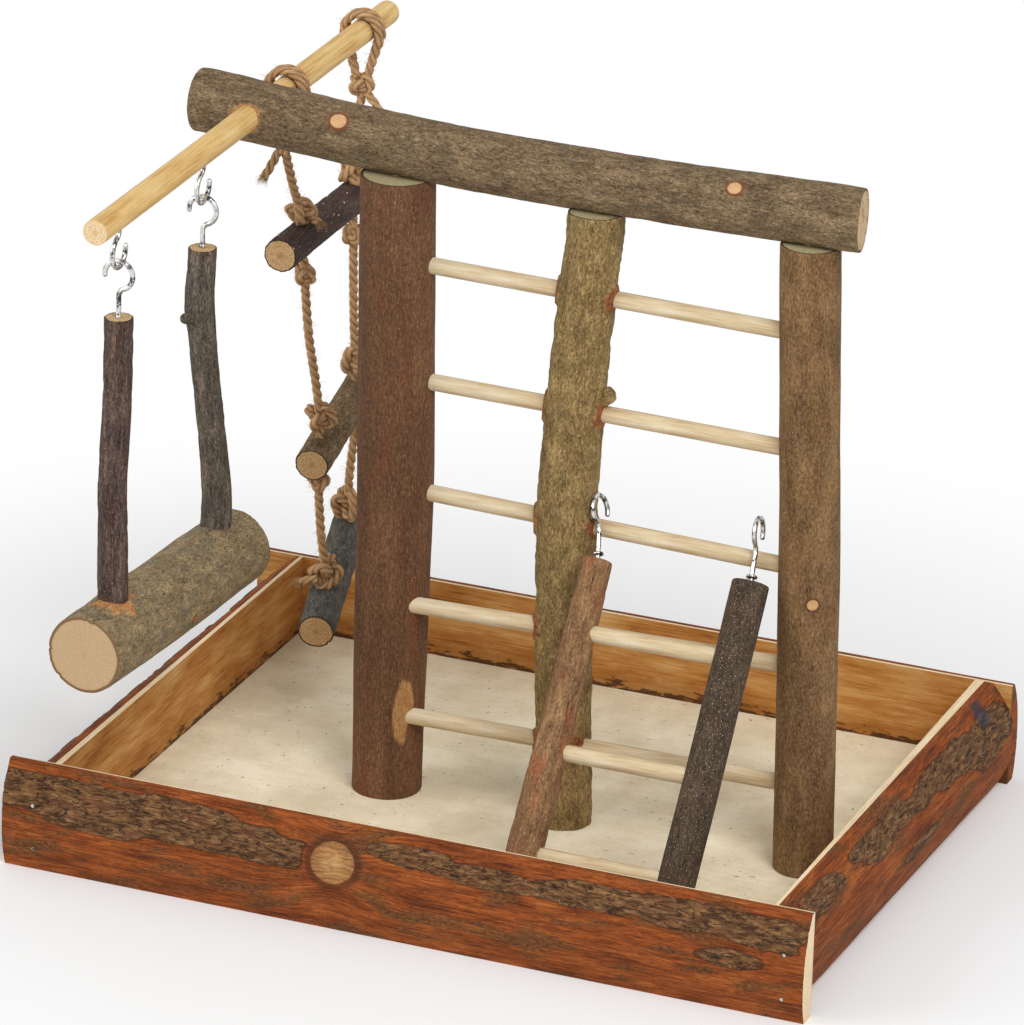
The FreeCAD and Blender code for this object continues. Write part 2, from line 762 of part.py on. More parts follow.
# ---------------------------------------------------------------- rope ladder

def unit(vector):
    return vector / vector.Length


def rounded_path(points):
    """Straight runs joined by tangent arcs, each as large as its two runs allow."""
    edges = []
    radii = []
    start = points[0]
    for before, corner, after in zip(points, points[1:], points[2:]):
        back = unit(before - corner)
        ahead = unit(after - corner)
        half_turn = (math.pi - back.getAngle(ahead)) / 2
        trim = 0.45 * min((before - corner).Length, (after - corner).Length)
        radius = trim / math.tan(half_turn)
        radii.append(radius)
        inward = unit(back + ahead) * (radius / math.cos(half_turn) - radius)
        enter = corner + back * trim
        leave = corner + ahead * trim
        edges.append(Part.LineSegment(start, enter).toShape())
        edges.append(Part.Arc(enter, corner + inward, leave).toShape())
        start = leave
    edges.append(Part.LineSegment(start, points[-1]).toShape())
    return Part.Wire(edges), radii


def rope_corners(centre, direction):
    """The corners of the rope's section across its line."""
    reach = value("rope_diameter / 2") * ROUND_SHARE[ROPE_SIDES]
    turn = FreeCAD.Rotation(Vector(0, 0, 1), direction)
    step = 2 * math.pi / ROPE_SIDES
    return [
        centre + turn.multVec(Vector(reach * math.cos(side * step), reach * math.sin(side * step), 0))
        for side in range(ROPE_SIDES)
    ]


def tube(name, points):
    """A rope along a route, its length and bends printed and its volume set against a plain cylinder's."""
    size = value("rope_diameter")
    path, radii = rounded_path(points)
    corners = rope_corners(points[0], points[1] - points[0])
    solid = path.makePipeShell([Part.makePolygon(corners + corners[:1])], True, False)
    expected = math.pi * size ** 2 / 4 * path.Length
    print(f"{name}: length {path.Length:.1f}, volume ratio {solid.Volume / expected:.4f}, "
          f"radii {[round(radius) for radius in radii]}")
    return solid


def feature(name, shape, frame):
    thing = document.addObject("Part::Feature", name)
    thing.Shape = shape
    thing.Placement = frame
    return thing


def solid_of_rings(rings):
    """A closed solid of flat faces through rings of corners."""
    faces = [Part.Face(Part.makePolygon(rings[0] + rings[0][:1]))]
    faces.append(Part.Face(Part.makePolygon(rings[-1] + rings[-1][:1])))
    for low, high in zip(rings, rings[1:]):
        for side in range(len(low)):
            after = (side + 1) % len(low)
            corners = [low[side], low[after], high[after], high[side], low[side]]
            faces.append(Part.Face(Part.makePolygon(corners)))
    return Part.Solid(Part.Shell(faces))


def knot(name, width, height, centre, direction, frame):
    """A barrel knot of two turns of rope round the rope's own line."""
    size = value("rope_diameter")
    bulge = value(width) / 2 * ROUND_SHARE[WIRE_SIDES]
    neck = size / 2 + value("knot_neck")
    levels = ((-0.5, neck), (-0.25, bulge), (0, bulge - size / 5), (0.25, bulge), (0.5, neck))
    step = 2 * math.pi / WIRE_SIDES
    rings = []
    for share, reach in levels:
        rings.append([
            Vector(reach * math.cos(side * step), reach * math.sin(side * step), share * value(height))
            for side in range(WIRE_SIDES)
        ])
    place = FreeCAD.Placement(centre, FreeCAD.Rotation(Vector(0, 0, 1), direction))
    return feature(name, solid_of_rings(rings), frame * place)


def rope_rung(name, tag, height, place_turn):
    """A rung of the rope ladder and the centres of its two rope holes, in the dowel's frame."""
    length = f"(rope_spacing + {tag}_rope_rung_front + {tag}_rope_rung_back)"
    aside = {"top": "0"}.get(tag, f"{tag}_rope_rung_aside")
    place = f"{DOWEL_FRAME} * {spot(aside, f'{LOOP_MIDDLE} + {tag}_rope_rung_shift', height, place_turn)}"
    front = f"(rope_spacing / 2 + {tag}_rope_rung_front)"
    back = f"(rope_spacing / 2 + {tag}_rope_rung_back)"
    size = f"{tag}_rope_rung_diameter"
    body = branch(
        f"{name}_blank",
        "XZ_Plane",
        (
            (front, "0", "0", size),
            (f"{front} - {length} / 2", "0", "rope_rung_bow", size),
            (f"-{back}", "0", "0", size),
        ),
        place,
    )
    local = value(spot(aside, f"{LOOP_MIDDLE} + {tag}_rope_rung_shift", height, place_turn))
    half = value("rope_spacing / 2")
    return body, [local.multVec(Vector(0, side * half, 0)) for side in (-1, 1)]


TOP_RUNG = f"({DOWEL_HEIGHT} - top_rope_rung_drop)"
BOTTOM_RUNG = "(floor_thickness + bottom_rope_rung_clear)"
MIDDLE_RUNG = rise(TOP_RUNG, BOTTOM_RUNG, "middle_rope_rung_share")


def down(point, distance, forward=0.0):
    return point + Vector(0, forward, -distance)


def mitred_rope(points):
    """A rope of short straight pieces that meet at mitres, for a bend round a dowel."""
    ring = rope_corners(points[0], points[1] - points[0])
    rings = [ring]
    for before, corner, after in zip(points, points[1:], points[2:]):
        line = unit(corner - before)
        mitre = unit(line + unit(after - corner))
        ring = [spot + line * ((corner - spot).dot(mitre) / line.dot(mitre)) for spot in ring]
        rings.append(ring)
    line = unit(points[-1] - points[-2])
    rings.append([spot + line * (points[-1] - spot).dot(line) for spot in ring])
    return solid_of_rings(rings)


def rope_loop(name, along, frame):
    """The loop over the dowel: two strands that part above the knot and meet over the top."""
    size = value("rope_diameter")
    ring = value("dowel_diameter / 2 + loop_slack + rope_diameter / 2")
    height = value(DOWEL_HEIGHT)
    half_gap = (size + value("strand_gap")) / 2
    foot = height - value("loop_knot_drop - loop_knot_height / 4")
    centre = Vector(0, along, height)
    left_foot = Vector(-half_gap, along, foot)
    reach = left_foot - centre
    angle = 2 * math.pi + math.atan2(reach.z, reach.x) - math.acos(ring / reach.Length)
    left = centre + Vector(ring * math.cos(angle), 0, ring * math.sin(angle))
    points = [left_foot]
    for step in range(RING_STEPS + 1):
        turn = angle - (2 * angle - math.pi) * step / RING_STEPS
        points.append(centre + Vector(ring * math.cos(turn), 0, ring * math.sin(turn)))
    points.append(Vector(half_gap, along, foot))
    strand = feature(f"{name}_strand", mitred_rope(points), frame)
    tied = knot(
        f"{name}_knot", "loop_knot_width", "loop_knot_height",
        down(centre, value("loop_knot_drop")), Vector(0, 0, 1), frame,
    )
    return fuse(name, strand, tied)


def rope_hole(name, top, bottom, frame):
    """The drilled hole for one rope, a little wider than the rope and in line with it."""
    share = 1 + value("2 * rope_hole_gap / rope_diameter")
    line = unit(bottom - top)
    rings = [[end + (corner - end) * share for corner in rope_corners(end, line)] for end in (top, bottom)]
    return feature(name, solid_of_rings(rings), frame)


def build_rope_ladder():
    """Two ropes from loops on the dowel, knotted above and below three drilled rungs."""
    frame = value(DOWEL_FRAME)
    middle_turn = "rotationz(middle_rope_rung_yaw) * rotationx(middle_rope_rung_tilt)"
    bottom_turn = "rotationz(bottom_rope_rung_yaw) * rotationx(bottom_rope_rung_tilt)"
    top_blank, top_holes = rope_rung("rope_rung_top", "top", TOP_RUNG, "rotationz(0)")
    middle_blank, middle_holes = rope_rung("rope_rung_middle", "middle", MIDDLE_RUNG, middle_turn)
    bottom_blank, bottom_holes = rope_rung("rope_rung_bottom", "bottom", BOTTOM_RUNG, bottom_turn)
    loops = [value(LOOP_FRONT), value(LOOP_BACK)]
    loop_end = value(f"{DOWEL_HEIGHT} - loop_knot_drop - loop_knot_height / 2")
    small_half = value("small_knot_height / 2")
    gap = value("rope_slack + rope_diameter / 2")
    parts = []
    knots = {"top": [], "middle": [], "bottom": []}
    drills = {"top": [], "middle": [], "bottom": []}
    for side, end in enumerate(("front", "back")):
        lean = TOP_LEANS[end]
        top_high = down(top_holes[side], -value("top_knot_rise"), -lean)
        top_low = down(top_holes[side], value("top_knot_fall"), lean)
        top_line = unit(top_low - top_high)
        top_end = top_low + top_line * small_half
        start = Vector(0, loops[side], loop_end)
        sway = (start + top_high) / 2 + TOP_SWAY[end]
        loop = rope_loop(f"rope_loop_{end}", loops[side], frame)
        top_tube = tube(f"rope_top_{end}", [start, sway, top_high, top_end])
        top_rope = cut(f"rope_top_{end}", feature(f"rope_top_{end}_tube", top_tube, frame), loop)

        middle_high = down(middle_holes[side], -value("middle_knot_rise"))
        middle_low = down(middle_holes[side], value("middle_knot_fall"))
        middle_end = down(middle_low, small_half)
        start = down(top_end, gap)
        route = [start]
        for share, sag in MIDDLE_SAG[end]:
            route.append(start + (middle_high - start) * share + sag)
        route += [middle_high, middle_end]
        middle_tube = tube(f"rope_middle_{end}", route)
        middle_rope = rope_with_round_end(f"rope_middle_{end}", middle_tube, start, frame)

        bottom_high = down(bottom_holes[side], -value("bottom_knot_rise"))
        bottom_end = down(bottom_holes[side], value("bottom_rope_rung_diameter / 2 - blind_hole_floor"))
        start = down(middle_end, gap)
        route = [start]
        for share, sag in BOTTOM_SAG[end]:
            route.append(start + (bottom_high - start) * share + sag)
        route += [bottom_high, bottom_end]
        bottom_tube = tube(f"rope_bottom_{end}", route)
        bottom_rope = rope_with_round_end(f"rope_bottom_{end}", bottom_tube, start, frame)

        up = Vector(0, 0, 1)
        tied = (
            ("top", "top_knot", top_high, -top_line, top_rope, top_blank),
            ("top", "small_knot", top_low, -top_line, top_rope, top_blank),
            ("middle", "middle_knot", middle_high, up, middle_rope, middle_blank),
            ("middle", "small_knot", middle_low, up, middle_rope, middle_blank),
            ("bottom", "bottom_knot", bottom_high, up, bottom_rope, bottom_blank),
        )
        for tag, size, centre, line, rope, rung in tied:
            name = f"{tag}_{size}_{end}"
            blank = knot(f"{name}_blank", f"{size}_width", f"{size}_height", centre, line, frame)
            knots[tag].append(cut(name, blank, rope, rung))
        drills["top"].append(rope_hole(f"top_hole_{end}", top_high, top_low, frame))
        drills["middle"].append(rope_hole(f"middle_hole_{end}", middle_high, middle_low, frame))
        drills["bottom"].append(rope_hole(f"bottom_hole_{end}", bottom_high, down(bottom_end, gap / 2), frame))
        parts += [loop, top_rope, middle_rope, bottom_rope]
        print("hinge points", end, frame.multVec(down(top_end, gap)), frame.multVec(down(middle_end, gap)))
    for tag, blank in (("top", top_blank), ("middle", middle_blank), ("bottom", bottom_blank)):
        parts.append(cut(f"rope_rung_{tag}", blank, *drills[tag]))
        parts.append(group(f"knots_{tag}_rung", *knots[tag]))
    return parts


def rope_with_round_end(name, solid, start, frame):
    """A rope whose upper end is a rounded tip, so that it can turn under the knot above."""
    radius = value("rope_diameter / 2")
    tip = Part.makeCone(radius, radius * 0.4, radius * 0.8, start, Vector(0, 0, 1))
    return feature(name, solid.fuse(tip).removeSplitter(), frame)


TOP_LEANS = {"front": 3.1, "back": 1.8}
TOP_SWAY = {"front": Vector(0.8, -2.5, -1), "back": Vector(-0.8, 1.6, 0)}
MIDDLE_SAG = {
    "front": ((0.34, Vector(-0.4, -2.2, 0)), (0.68, Vector(0.2, -0.8, 0))),
    "back": ((0.34, Vector(0.3, -1.6, 0)), (0.68, Vector(-0.2, -0.6, 0))),
}
BOTTOM_SAG = {
    "front": ((0.45, Vector(0.2, -2.6, 0)),),
    "back": ((0.45, Vector(-0.2, -1.2, 0)),),
}


# ---------------------------------------------------------------- leaning ladder

RAMP_LEFT = f"({MIDDLE_POST} + ramp_left_gap)"
RAMP_RIGHT = f"({RIGHT_POST} - ramp_right_gap)"
RAMP_FOOT_Y = "(ramp_foot_diameter + ramp_foot_gap - tray_depth / 2)"
RAMP_FOOT_Z = "(floor_thickness + ramp_foot_clearance)"
RAMP_SHARE = f"((({RAMP_LEFT} + {RAMP_RIGHT}) / 2 - {RUNG_START}) / ({RUNG_END} - {RUNG_START}))"
THIRD_RUNG = (
    f"({rise(TOP_RUNG_HEIGHT, LOW_RUNG_HEIGHT, '0.5')} + third_rung_shift - third_rung_drop * {RAMP_SHARE})"
)
RAMP_RUN = f"(post_row_y - {RAMP_FOOT_Y})"
RAMP_CLIMB = f"({THIRD_RUNG} - {RAMP_FOOT_Z})"
RAMP_BACKSET = "(ramp_foot_diameter / 2 - ramp_rung_offset)"
RAMP_DIAGONAL = f"sqrt({RAMP_RUN} ^ 2 + {RAMP_CLIMB} ^ 2)"
RAMP_ALONG = f"sqrt({RAMP_RUN} ^ 2 + {RAMP_CLIMB} ^ 2 - {RAMP_BACKSET} ^ 2)"
RAMP_LEAN = f"(atan2({RAMP_CLIMB}; {RAMP_RUN}) - asin({RAMP_BACKSET} / {RAMP_DIAGONAL}))"
RAMP_FRAME = spot(0, RAMP_FOOT_Y, RAMP_FOOT_Z, f"rotationx({RAMP_LEAN} - 90 deg)")
RAMP_AXIS = "(-ramp_foot_diameter / 2)"


def build_ramp():
    """A small ladder built upright on its feet, then leaned back until its hooks reach the third rung."""
    parts = []
    sticks = {}
    hooks = {}
    plan = (
        ("left", RAMP_LEFT, "ramp_left_hook_reach", "ramp_left_top", "ramp_hook_twist"),
        ("right", RAMP_RIGHT, "ramp_right_hook_reach", "ramp_right_top", "0"),
    )
    for side, x, reach, girth, twist in plan:
        top = f"({RAMP_ALONG} - {reach})"
        stations = (
            ("0", x, RAMP_AXIS, "ramp_foot_diameter"),
            (
                f"{top} / 2",
                f"{x} + ramp_stick_bow",
                f"{RAMP_AXIS} - ramp_stick_sag",
                f"(ramp_foot_diameter + {girth}) / 2",
            ),
            (top, x, RAMP_AXIS, girth),
        )
        sticks[side] = branch(f"ramp_stick_{side}_blank", "XY_Plane", stations, RAMP_FRAME)
        base = spot(x, RAMP_AXIS, top, f"rotationz(-90 - {twist})")
        wire = hook(f"ramp_hook_{side}_wire", "ramp_hook_height", "lower_hook_radius", f"{RAMP_FRAME} * {base}")
        collar = rod(
            f"ramp_hook_{side}_collar",
            (x, RAMP_AXIS, top),
            (x, RAMP_AXIS, f"{top} + collar_thickness"),
            "collar_diameter",
            RAMP_FRAME,
        )
        hooks[side] = fuse(f"ramp_hook_{side}", wire, collar)
    high = f"({RAMP_ALONG} - ramp_left_hook_reach - ramp_high_rung_drop)"
    start_x = f"{RAMP_LEFT} + ramp_left_top / 2 - ramp_rung_insert"
    end_x = f"{RAMP_RIGHT} - ramp_right_top / 2 + ramp_rung_insert"
    rungs = []
    heights = (high, rise("ramp_low_rung", high, "ramp_middle_rung_share"), "ramp_low_rung")
    for number, height in enumerate(heights, start=1):
        start = (start_x, RAMP_AXIS, height)
        rungs.append(rod(f"ramp_rung_{number}", start, (end_x, RAMP_AXIS, height), "rung_diameter", RAMP_FRAME))
    for side in ("left", "right"):
        parts.append(cut(f"ramp_stick_{side}", sticks[side], hooks[side], *rungs))
    return [*parts, *hooks.values(), *rungs]


# ---------------------------------------------------------------- the whole stand

def build_stand():
    tray = build_tray()
    screws = tray[-1]
    rungs, left, middle, right = build_frame()
    log_blank, pins, seats = build_log()
    dowel_blank = build_dowel()
    swing = build_swing()
    dowel = cut("perch_dowel", dowel_blank, swing[0], swing[2])
    ladder = fuse("ladder_rungs", *rungs)
    stub = rod(
        "middle_post_stub",
        (f"{MIDDLE_POST} + middle_post_high_bow", "post_row_y", "stub_height - stub_climb / 2"),
        (f"{MIDDLE_POST} + middle_post_top / 2 + stub_length", "post_row_y", "stub_height + stub_climb / 2"),
        "stub_diameter",
    )
    middle = fuse("middle_post_whole", middle, stub)
    posts = [
        cut(name, blank, ladder, pins, screws)
        for name, blank in (("left_post", left), ("middle_post", middle), ("right_post", right))
    ]
    log = cut("top_log", log_blank, pins, dowel_blank, *seats)
    return [*tray, *posts, log, pins, *rungs, dowel, *swing, *build_rope_ladder(), *build_ramp()]


def check(things):
    """Stop if any object failed or any finished piece is empty or not a valid solid."""
    for thing in document.Objects:
        if {"Invalid", "Error"} & set(thing.State):
            raise RuntimeError(f"{thing.Name} is {thing.State}")
    for thing in things:
        if thing.Shape.isNull() or not thing.Shape.isValid() or not thing.Shape.Solids:
            raise RuntimeError(f"{thing.Name} has no valid solid")


pieces = build_stand()
document.recompute()
check(pieces)
os.makedirs("parts", exist_ok=True)
for piece in pieces:
    piece.Label = piece.Name
    piece.Shape.exportStep(f"parts/{piece.Label}.step")
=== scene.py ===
import math

import bpy
import numpy as np
from mathutils import Matrix, Vector


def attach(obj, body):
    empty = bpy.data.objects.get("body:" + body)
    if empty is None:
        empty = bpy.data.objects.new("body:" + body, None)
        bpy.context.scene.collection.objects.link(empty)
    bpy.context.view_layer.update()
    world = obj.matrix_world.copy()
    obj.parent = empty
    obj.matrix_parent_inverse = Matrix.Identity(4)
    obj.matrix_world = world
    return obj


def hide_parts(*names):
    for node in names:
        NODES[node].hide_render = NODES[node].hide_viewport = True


MM = 0.001
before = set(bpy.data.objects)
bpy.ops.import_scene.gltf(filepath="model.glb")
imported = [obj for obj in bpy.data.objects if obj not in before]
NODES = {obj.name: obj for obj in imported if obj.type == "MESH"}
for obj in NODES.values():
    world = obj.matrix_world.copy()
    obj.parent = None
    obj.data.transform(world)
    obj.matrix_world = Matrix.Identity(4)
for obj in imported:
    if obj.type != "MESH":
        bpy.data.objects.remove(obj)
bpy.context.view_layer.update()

STAND = "stand"
SWING = "swing"
TOP = "rope_ladder_top"
MIDDLE = "rope_ladder_middle"
BOTTOM = "rope_ladder_bottom"
LEANING = "leaning_ladder"
UPRIGHT = (0, 0, 1)
SIDEWAYS = (1, 0, 0)


# ---------------------------------------------------------------- camera and light

AZIMUTH = math.radians(21.61)
ELEVATION = math.radians(22.21)
ROLL = math.radians(1.60)
FOCAL_PIXELS = 7000.0
FRAME_HEIGHT = 1025.0
SENSOR = 36.0
CAMERA_ASIDE = -2.75
CAMERA_RISE = 146.99
CAMERA_AWAY = 3353.5
KEY_POWER = 52
FILL_POWER = 24
AMBIENT = 0.59
FLOOR_SIZE = 9.0
FLOOR_GREY = 0.86
FLOOR_FADE = (0.24, 0.55)


def place_camera():
    """The photograph's camera: where it stands, how it is turned and its lens."""
    back = Vector((
        math.sin(AZIMUTH) * math.cos(ELEVATION),
        -math.cos(AZIMUTH) * math.cos(ELEVATION),
        math.sin(ELEVATION),
    ))
    right = (-back).cross(Vector((0, 0, 1))).normalized()
    up = back.cross(right)
    right_rolled = math.cos(ROLL) * right + math.sin(ROLL) * up
    up_rolled = -math.sin(ROLL) * right + math.cos(ROLL) * up
    spot = (right_rolled * CAMERA_ASIDE + up_rolled * CAMERA_RISE + back * CAMERA_AWAY) * MM
    data = bpy.data.cameras.new("camera")
    data.sensor_width = SENSOR
    data.lens = FOCAL_PIXELS / FRAME_HEIGHT * SENSOR
    data.clip_end = 20.0
    camera = bpy.data.objects.new("camera", data)
    turn = Matrix((right_rolled, up_rolled, back)).transposed().to_4x4()
    camera.matrix_world = Matrix.Translation(spot) @ turn
    bpy.context.scene.collection.objects.link(camera)
    bpy.context.scene.camera = camera


def area_light(name, spot, target, size, power):
    data = bpy.data.lights.new(name, "AREA")
    data.shape = "DISK"
    data.size = size
    data.energy = power
    lamp = bpy.data.objects.new(name, data)
    lamp.location = spot
    aim = Vector(target) - Vector(spot)
    lamp.rotation_euler = aim.to_track_quat("-Z", "Y").to_euler()
    bpy.context.scene.collection.objects.link(lamp)


# ---------------------------------------------------------------- noise worked out on points

STIR_X, STIR_Y, STIR_Z, STIR_SEED = 374761393, 668265263, 1274126177, 974634777
WORD = 0xFFFFFFFF
NOISE_ORIGIN = 500.0


def lattice(cells, seed):
    """A steady random number from 0 to 1 for each cell of whole numbers."""
    cells = cells.astype(np.int64)
    mixed = cells[:, 0] * STIR_X + cells[:, 1] * STIR_Y + cells[:, 2] * STIR_Z + seed * STIR_SEED
    mixed = (mixed ^ (mixed >> 13)) & WORD
    mixed = (mixed * STIR_Z) & WORD
    mixed = (mixed ^ (mixed >> 16)) & WORD
    return mixed / float(WORD)


def noise(points, scale, seed):
    """Smooth noise from -1 to 1; scale is the size of a lump along each axis, in the points' own units."""
    spots = points / np.array(scale, float) + NOISE_ORIGIN
    whole = np.floor(spots)
    part = spots - whole
    part = part * part * (3 - 2 * part)
    total = np.zeros(len(points))
    for corner in range(8):
        step = np.array([corner & 1, corner >> 1 & 1, corner >> 2 & 1])
        weight = np.prod(np.where(step, part, 1 - part), axis=1)
        total += weight * lattice(whole + step, seed)
    return total * 2 - 1


def layered(points, scale, seed, octaves=3):
    """Several layers of noise, each half the size and strength of the last."""
    total = np.zeros(len(points))
    size = np.array(scale, float)
    strength = 1.0
    for octave in range(octaves):
        total += strength * noise(points, size, seed + octave)
        size = size / 2
        strength /= 2
    return total / (2 - 2 ** (1 - octaves))


def ridges(points, scale, seed, octaves=3):
    """Noise with sharp valleys, from 0 in a crack to 1 on a plate."""
    return np.clip(np.abs(layered(points, scale, seed, octaves)) * 3, 0, 1)


def smooth_step(value, start, end):
    share = np.clip((value - start) / (end - start), 0, 1)
    return share * share * (3 - 2 * share)


# ---------------------------------------------------------------- meshes

def new_object(name, points, faces, materials, choice=None):
    """An object from points in millimetres; choice is each face's material."""
    mesh = bpy.data.meshes.new(name)
    mesh.from_pydata([tuple(p) for p in np.asarray(points) * MM], [], faces)
    for material in materials:
        mesh.materials.append(material)
    if choice is not None:
        mesh.polygons.foreach_set("material_index", np.asarray(choice, np.int32))
    mesh.polygons.foreach_set("use_smooth", np.full(len(mesh.polygons), True))
    mesh.update()
    thing = bpy.data.objects.new(name, mesh)
    bpy.context.scene.collection.objects.link(thing)
    return thing


def paint(thing, name, numbers):
    """Keep one number for each point of a mesh, for its material to read."""
    layer = thing.data.attributes.new(name, "FLOAT", "POINT")
    layer.data.foreach_set("value", np.asarray(numbers, np.float32))


def paint_vector(thing, name, vectors):
    layer = thing.data.attributes.new(name, "FLOAT_VECTOR", "POINT")
    layer.data.foreach_set("vector", np.asarray(vectors, np.float32).ravel())


def settle(thing, body, slot, *nodes):
    """The piece rides on its body and stands for its CAD nodes; slot is not used."""
    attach(thing, body)
    if nodes:
        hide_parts(*nodes)


def grid_faces(rows, columns, closed):
    """Faces between rows of points; closed joins each row's last point to its first."""
    faces = []
    span = columns if closed else columns - 1
    for row in range(rows - 1):
        for column in range(span):
            after = (column + 1) % columns
            a = row * columns + column
            b = row * columns + after
            faces.append((a, b, b + columns, a + columns))
    return faces


def node_points(name):
    mesh = NODES[name].data
    points = np.empty(len(mesh.vertices) * 3)
    mesh.vertices.foreach_get("co", points)
    return points.reshape(-1, 3) / MM


def node_edges(name):
    mesh = NODES[name].data
    edges = np.empty(len(mesh.edges) * 2, np.int32)
    mesh.edges.foreach_get("vertices", edges)
    return edges.reshape(-1, 2)


def axes_along(direction):
    """Three directions at right angles, the last along the limb."""
    along = np.array(direction, float)
    along /= np.linalg.norm(along)
    helper = np.array([0.0, 0.0, 1.0]) if abs(along[2]) < 0.7 else np.array([1.0, 0.0, 0.0])
    side = np.cross(helper, along)
    side /= np.linalg.norm(side)
    return side, np.cross(along, side), along


SUPPORTS = 32
LINE_MARGIN = 0.012


def limb_line(name, direction, slices):
    """The middle line and radius of a CAD limb, from flat cuts across it."""
    points = node_points(name)
    edges = node_edges(name)
    side, up, along = axes_along(direction)
    local = np.stack([points @ side, points @ up, points @ along], axis=1)
    first, last = local[edges[:, 0]], local[edges[:, 1]]
    low_end, high_end = local[:, 2].min(), local[:, 2].max()
    margin = (high_end - low_end) * LINE_MARGIN
    turns = np.arange(SUPPORTS) * 2 * math.pi / SUPPORTS
    rays = np.stack([np.cos(turns), np.sin(turns)])
    line = []
    for height in np.linspace(low_end + margin, high_end - margin, slices):
        crossing = (first[:, 2] - height) * (last[:, 2] - height) < 0
        a, b = first[crossing], last[crossing]
        share = (height - a[:, 2]) / (b[:, 2] - a[:, 2])
        cuts = a[:, :2] + (b - a)[:, :2] * share[:, None]
        reach = (cuts @ rays).max(axis=0)
        half = SUPPORTS // 2
        centre = ((reach[:half] - reach[half:]) / 2 * rays[:, :half]).sum(axis=1) * 2 / half
        radius = np.median((reach[:half] + reach[half:]) / 2)
        line.append((centre[0], centre[1], height, radius))
    line = np.array(line)
    line[0, 2] = low_end
    line[-1, 2] = high_end
    return line, (side, up, along)


def smoothed(values, passes):
    """Each number drawn towards its neighbours; the two ends stay."""
    values = values.copy()
    for _ in range(passes):
        values[1:-1] = (values[:-2] + 2 * values[1:-1] + values[2:]) / 4
    return values


# ---------------------------------------------------------------- node materials

def tint(text):
    """A shader colour from the six-digit screen colour."""
    parts = [int(text[place:place + 2], 16) / 255 for place in (0, 2, 4)]
    linear = [part / 12.92 if part <= 0.04045 else ((part + 0.055) / 1.055) ** 2.4 for part in parts]
    return (*linear, 1.0)


class Paint:
    """A material under construction: each call adds a node and gives back its output."""

    def __init__(self, name, rough=0.85, specular=0.25):
        self.material = bpy.data.materials.new(name)
        self.material.use_nodes = True
        self.tree = self.material.node_tree
        self.shader = self.tree.nodes["Principled BSDF"]
        self.shader.inputs["Roughness"].default_value = rough
        self.shader.inputs["Specular IOR Level"].default_value = specular

    def add(self, kind, **settings):
        node = self.tree.nodes.new(kind)
        for key, value in settings.items():
            setattr(node, key, value)
        return node

    def feed(self, socket, value):
        if isinstance(value, bpy.types.NodeSocket):
            self.tree.links.new(value, socket)
        else:
            socket.default_value = value

    def attribute(self, name, vector=False):
        node = self.add("ShaderNodeAttribute", attribute_name=name)
        return node.outputs["Vector" if vector else "Fac"]

    def place(self):
        return self.add("ShaderNodeTexCoord").outputs["Object"]

    def stretch(self, vector, sizes):
        """The vector divided by a size along each axis."""
        node = self.add("ShaderNodeVectorMath", operation="DIVIDE")
        self.feed(node.inputs[0], vector)
        node.inputs[1].default_value = sizes
        return node.outputs[0]

    def noise(self, vector, sizes, detail=4.0, rough=0.6, twist=0.0):
        node = self.add("ShaderNodeTexNoise")
        self.feed(node.inputs["Vector"], self.stretch(vector, sizes))
        node.inputs["Scale"].default_value = 1.0
        node.inputs["Detail"].default_value = detail
        node.inputs["Roughness"].default_value = rough
        node.inputs["Distortion"].default_value = twist
        return node.outputs["Fac"]

    def cells(self, vector, sizes):
        node = self.add("ShaderNodeTexVoronoi", feature="F1")
        self.feed(node.inputs["Vector"], self.stretch(vector, sizes))
        node.inputs["Scale"].default_value = 1.0
        return node.outputs["Distance"]

    def band(self, value, start, end, strength=1.0):
        """From 0 at start to the strength at end, smoothly."""
        node = self.add("ShaderNodeMapRange", interpolation_type="SMOOTHSTEP")
        self.feed(node.inputs["Value"], value)
        node.inputs["From Min"].default_value = start
        node.inputs["From Max"].default_value = end
        node.inputs["To Max"].default_value = strength
        return node.outputs["Result"]

    def sums(self, operation, first, second=0.0):
        node = self.add("ShaderNodeMath", operation=operation)
        self.feed(node.inputs[0], first)
        self.feed(node.inputs[1], second)
        return node.outputs[0]

    def part(self, value, share):
        return self.sums("MULTIPLY", value, share)

    def blend(self, first, first_share, second, second_share):
        """Two values added, each by its share."""
        return self.sums("ADD", self.part(first, first_share), self.part(second, second_share))

    def left_of(self, value):
        return self.sums("SUBTRACT", 1.0, value)

    def threads(self, value, width):
        """1 along the lines where a noise crosses its middle, 0 away from them."""
        away = self.sums("ABSOLUTE", self.sums("SUBTRACT", value, 0.5))
        return self.left_of(self.band(away, 0.0, width))

    def ramp(self, value, stops):
        node = self.add("ShaderNodeValToRGB")
        self.feed(node.inputs["Fac"], value)
        ramp = node.color_ramp
        while len(ramp.elements) < len(stops):
            ramp.elements.new(0.5)
        for element, (place, colour) in zip(ramp.elements, stops):
            element.position = place
            element.color = tint(colour)
        return node.outputs["Color"]

    def mix(self, share, first, second):
        node = self.add("ShaderNodeMix", data_type="RGBA", blend_type="MIX")
        self.feed(node.inputs[0], share)
        for socket, value in ((node.inputs[6], first), (node.inputs[7], second)):
            self.feed(socket, tint(value) if isinstance(value, str) else value)
        return node.outputs[2]

    def finish(self, colour, height, depth):
        """Colour, and bumps as deep as depth millimetres."""
        self.feed(self.shader.inputs["Base Color"], colour)
        bump = self.add("ShaderNodeBump")
        bump.inputs["Strength"].default_value = 1.0
        bump.inputs["Distance"].default_value = depth * MM
        self.feed(bump.inputs["Height"], height)
        self.feed(self.shader.inputs["Normal"], bump.outputs["Normal"])
        return self.material


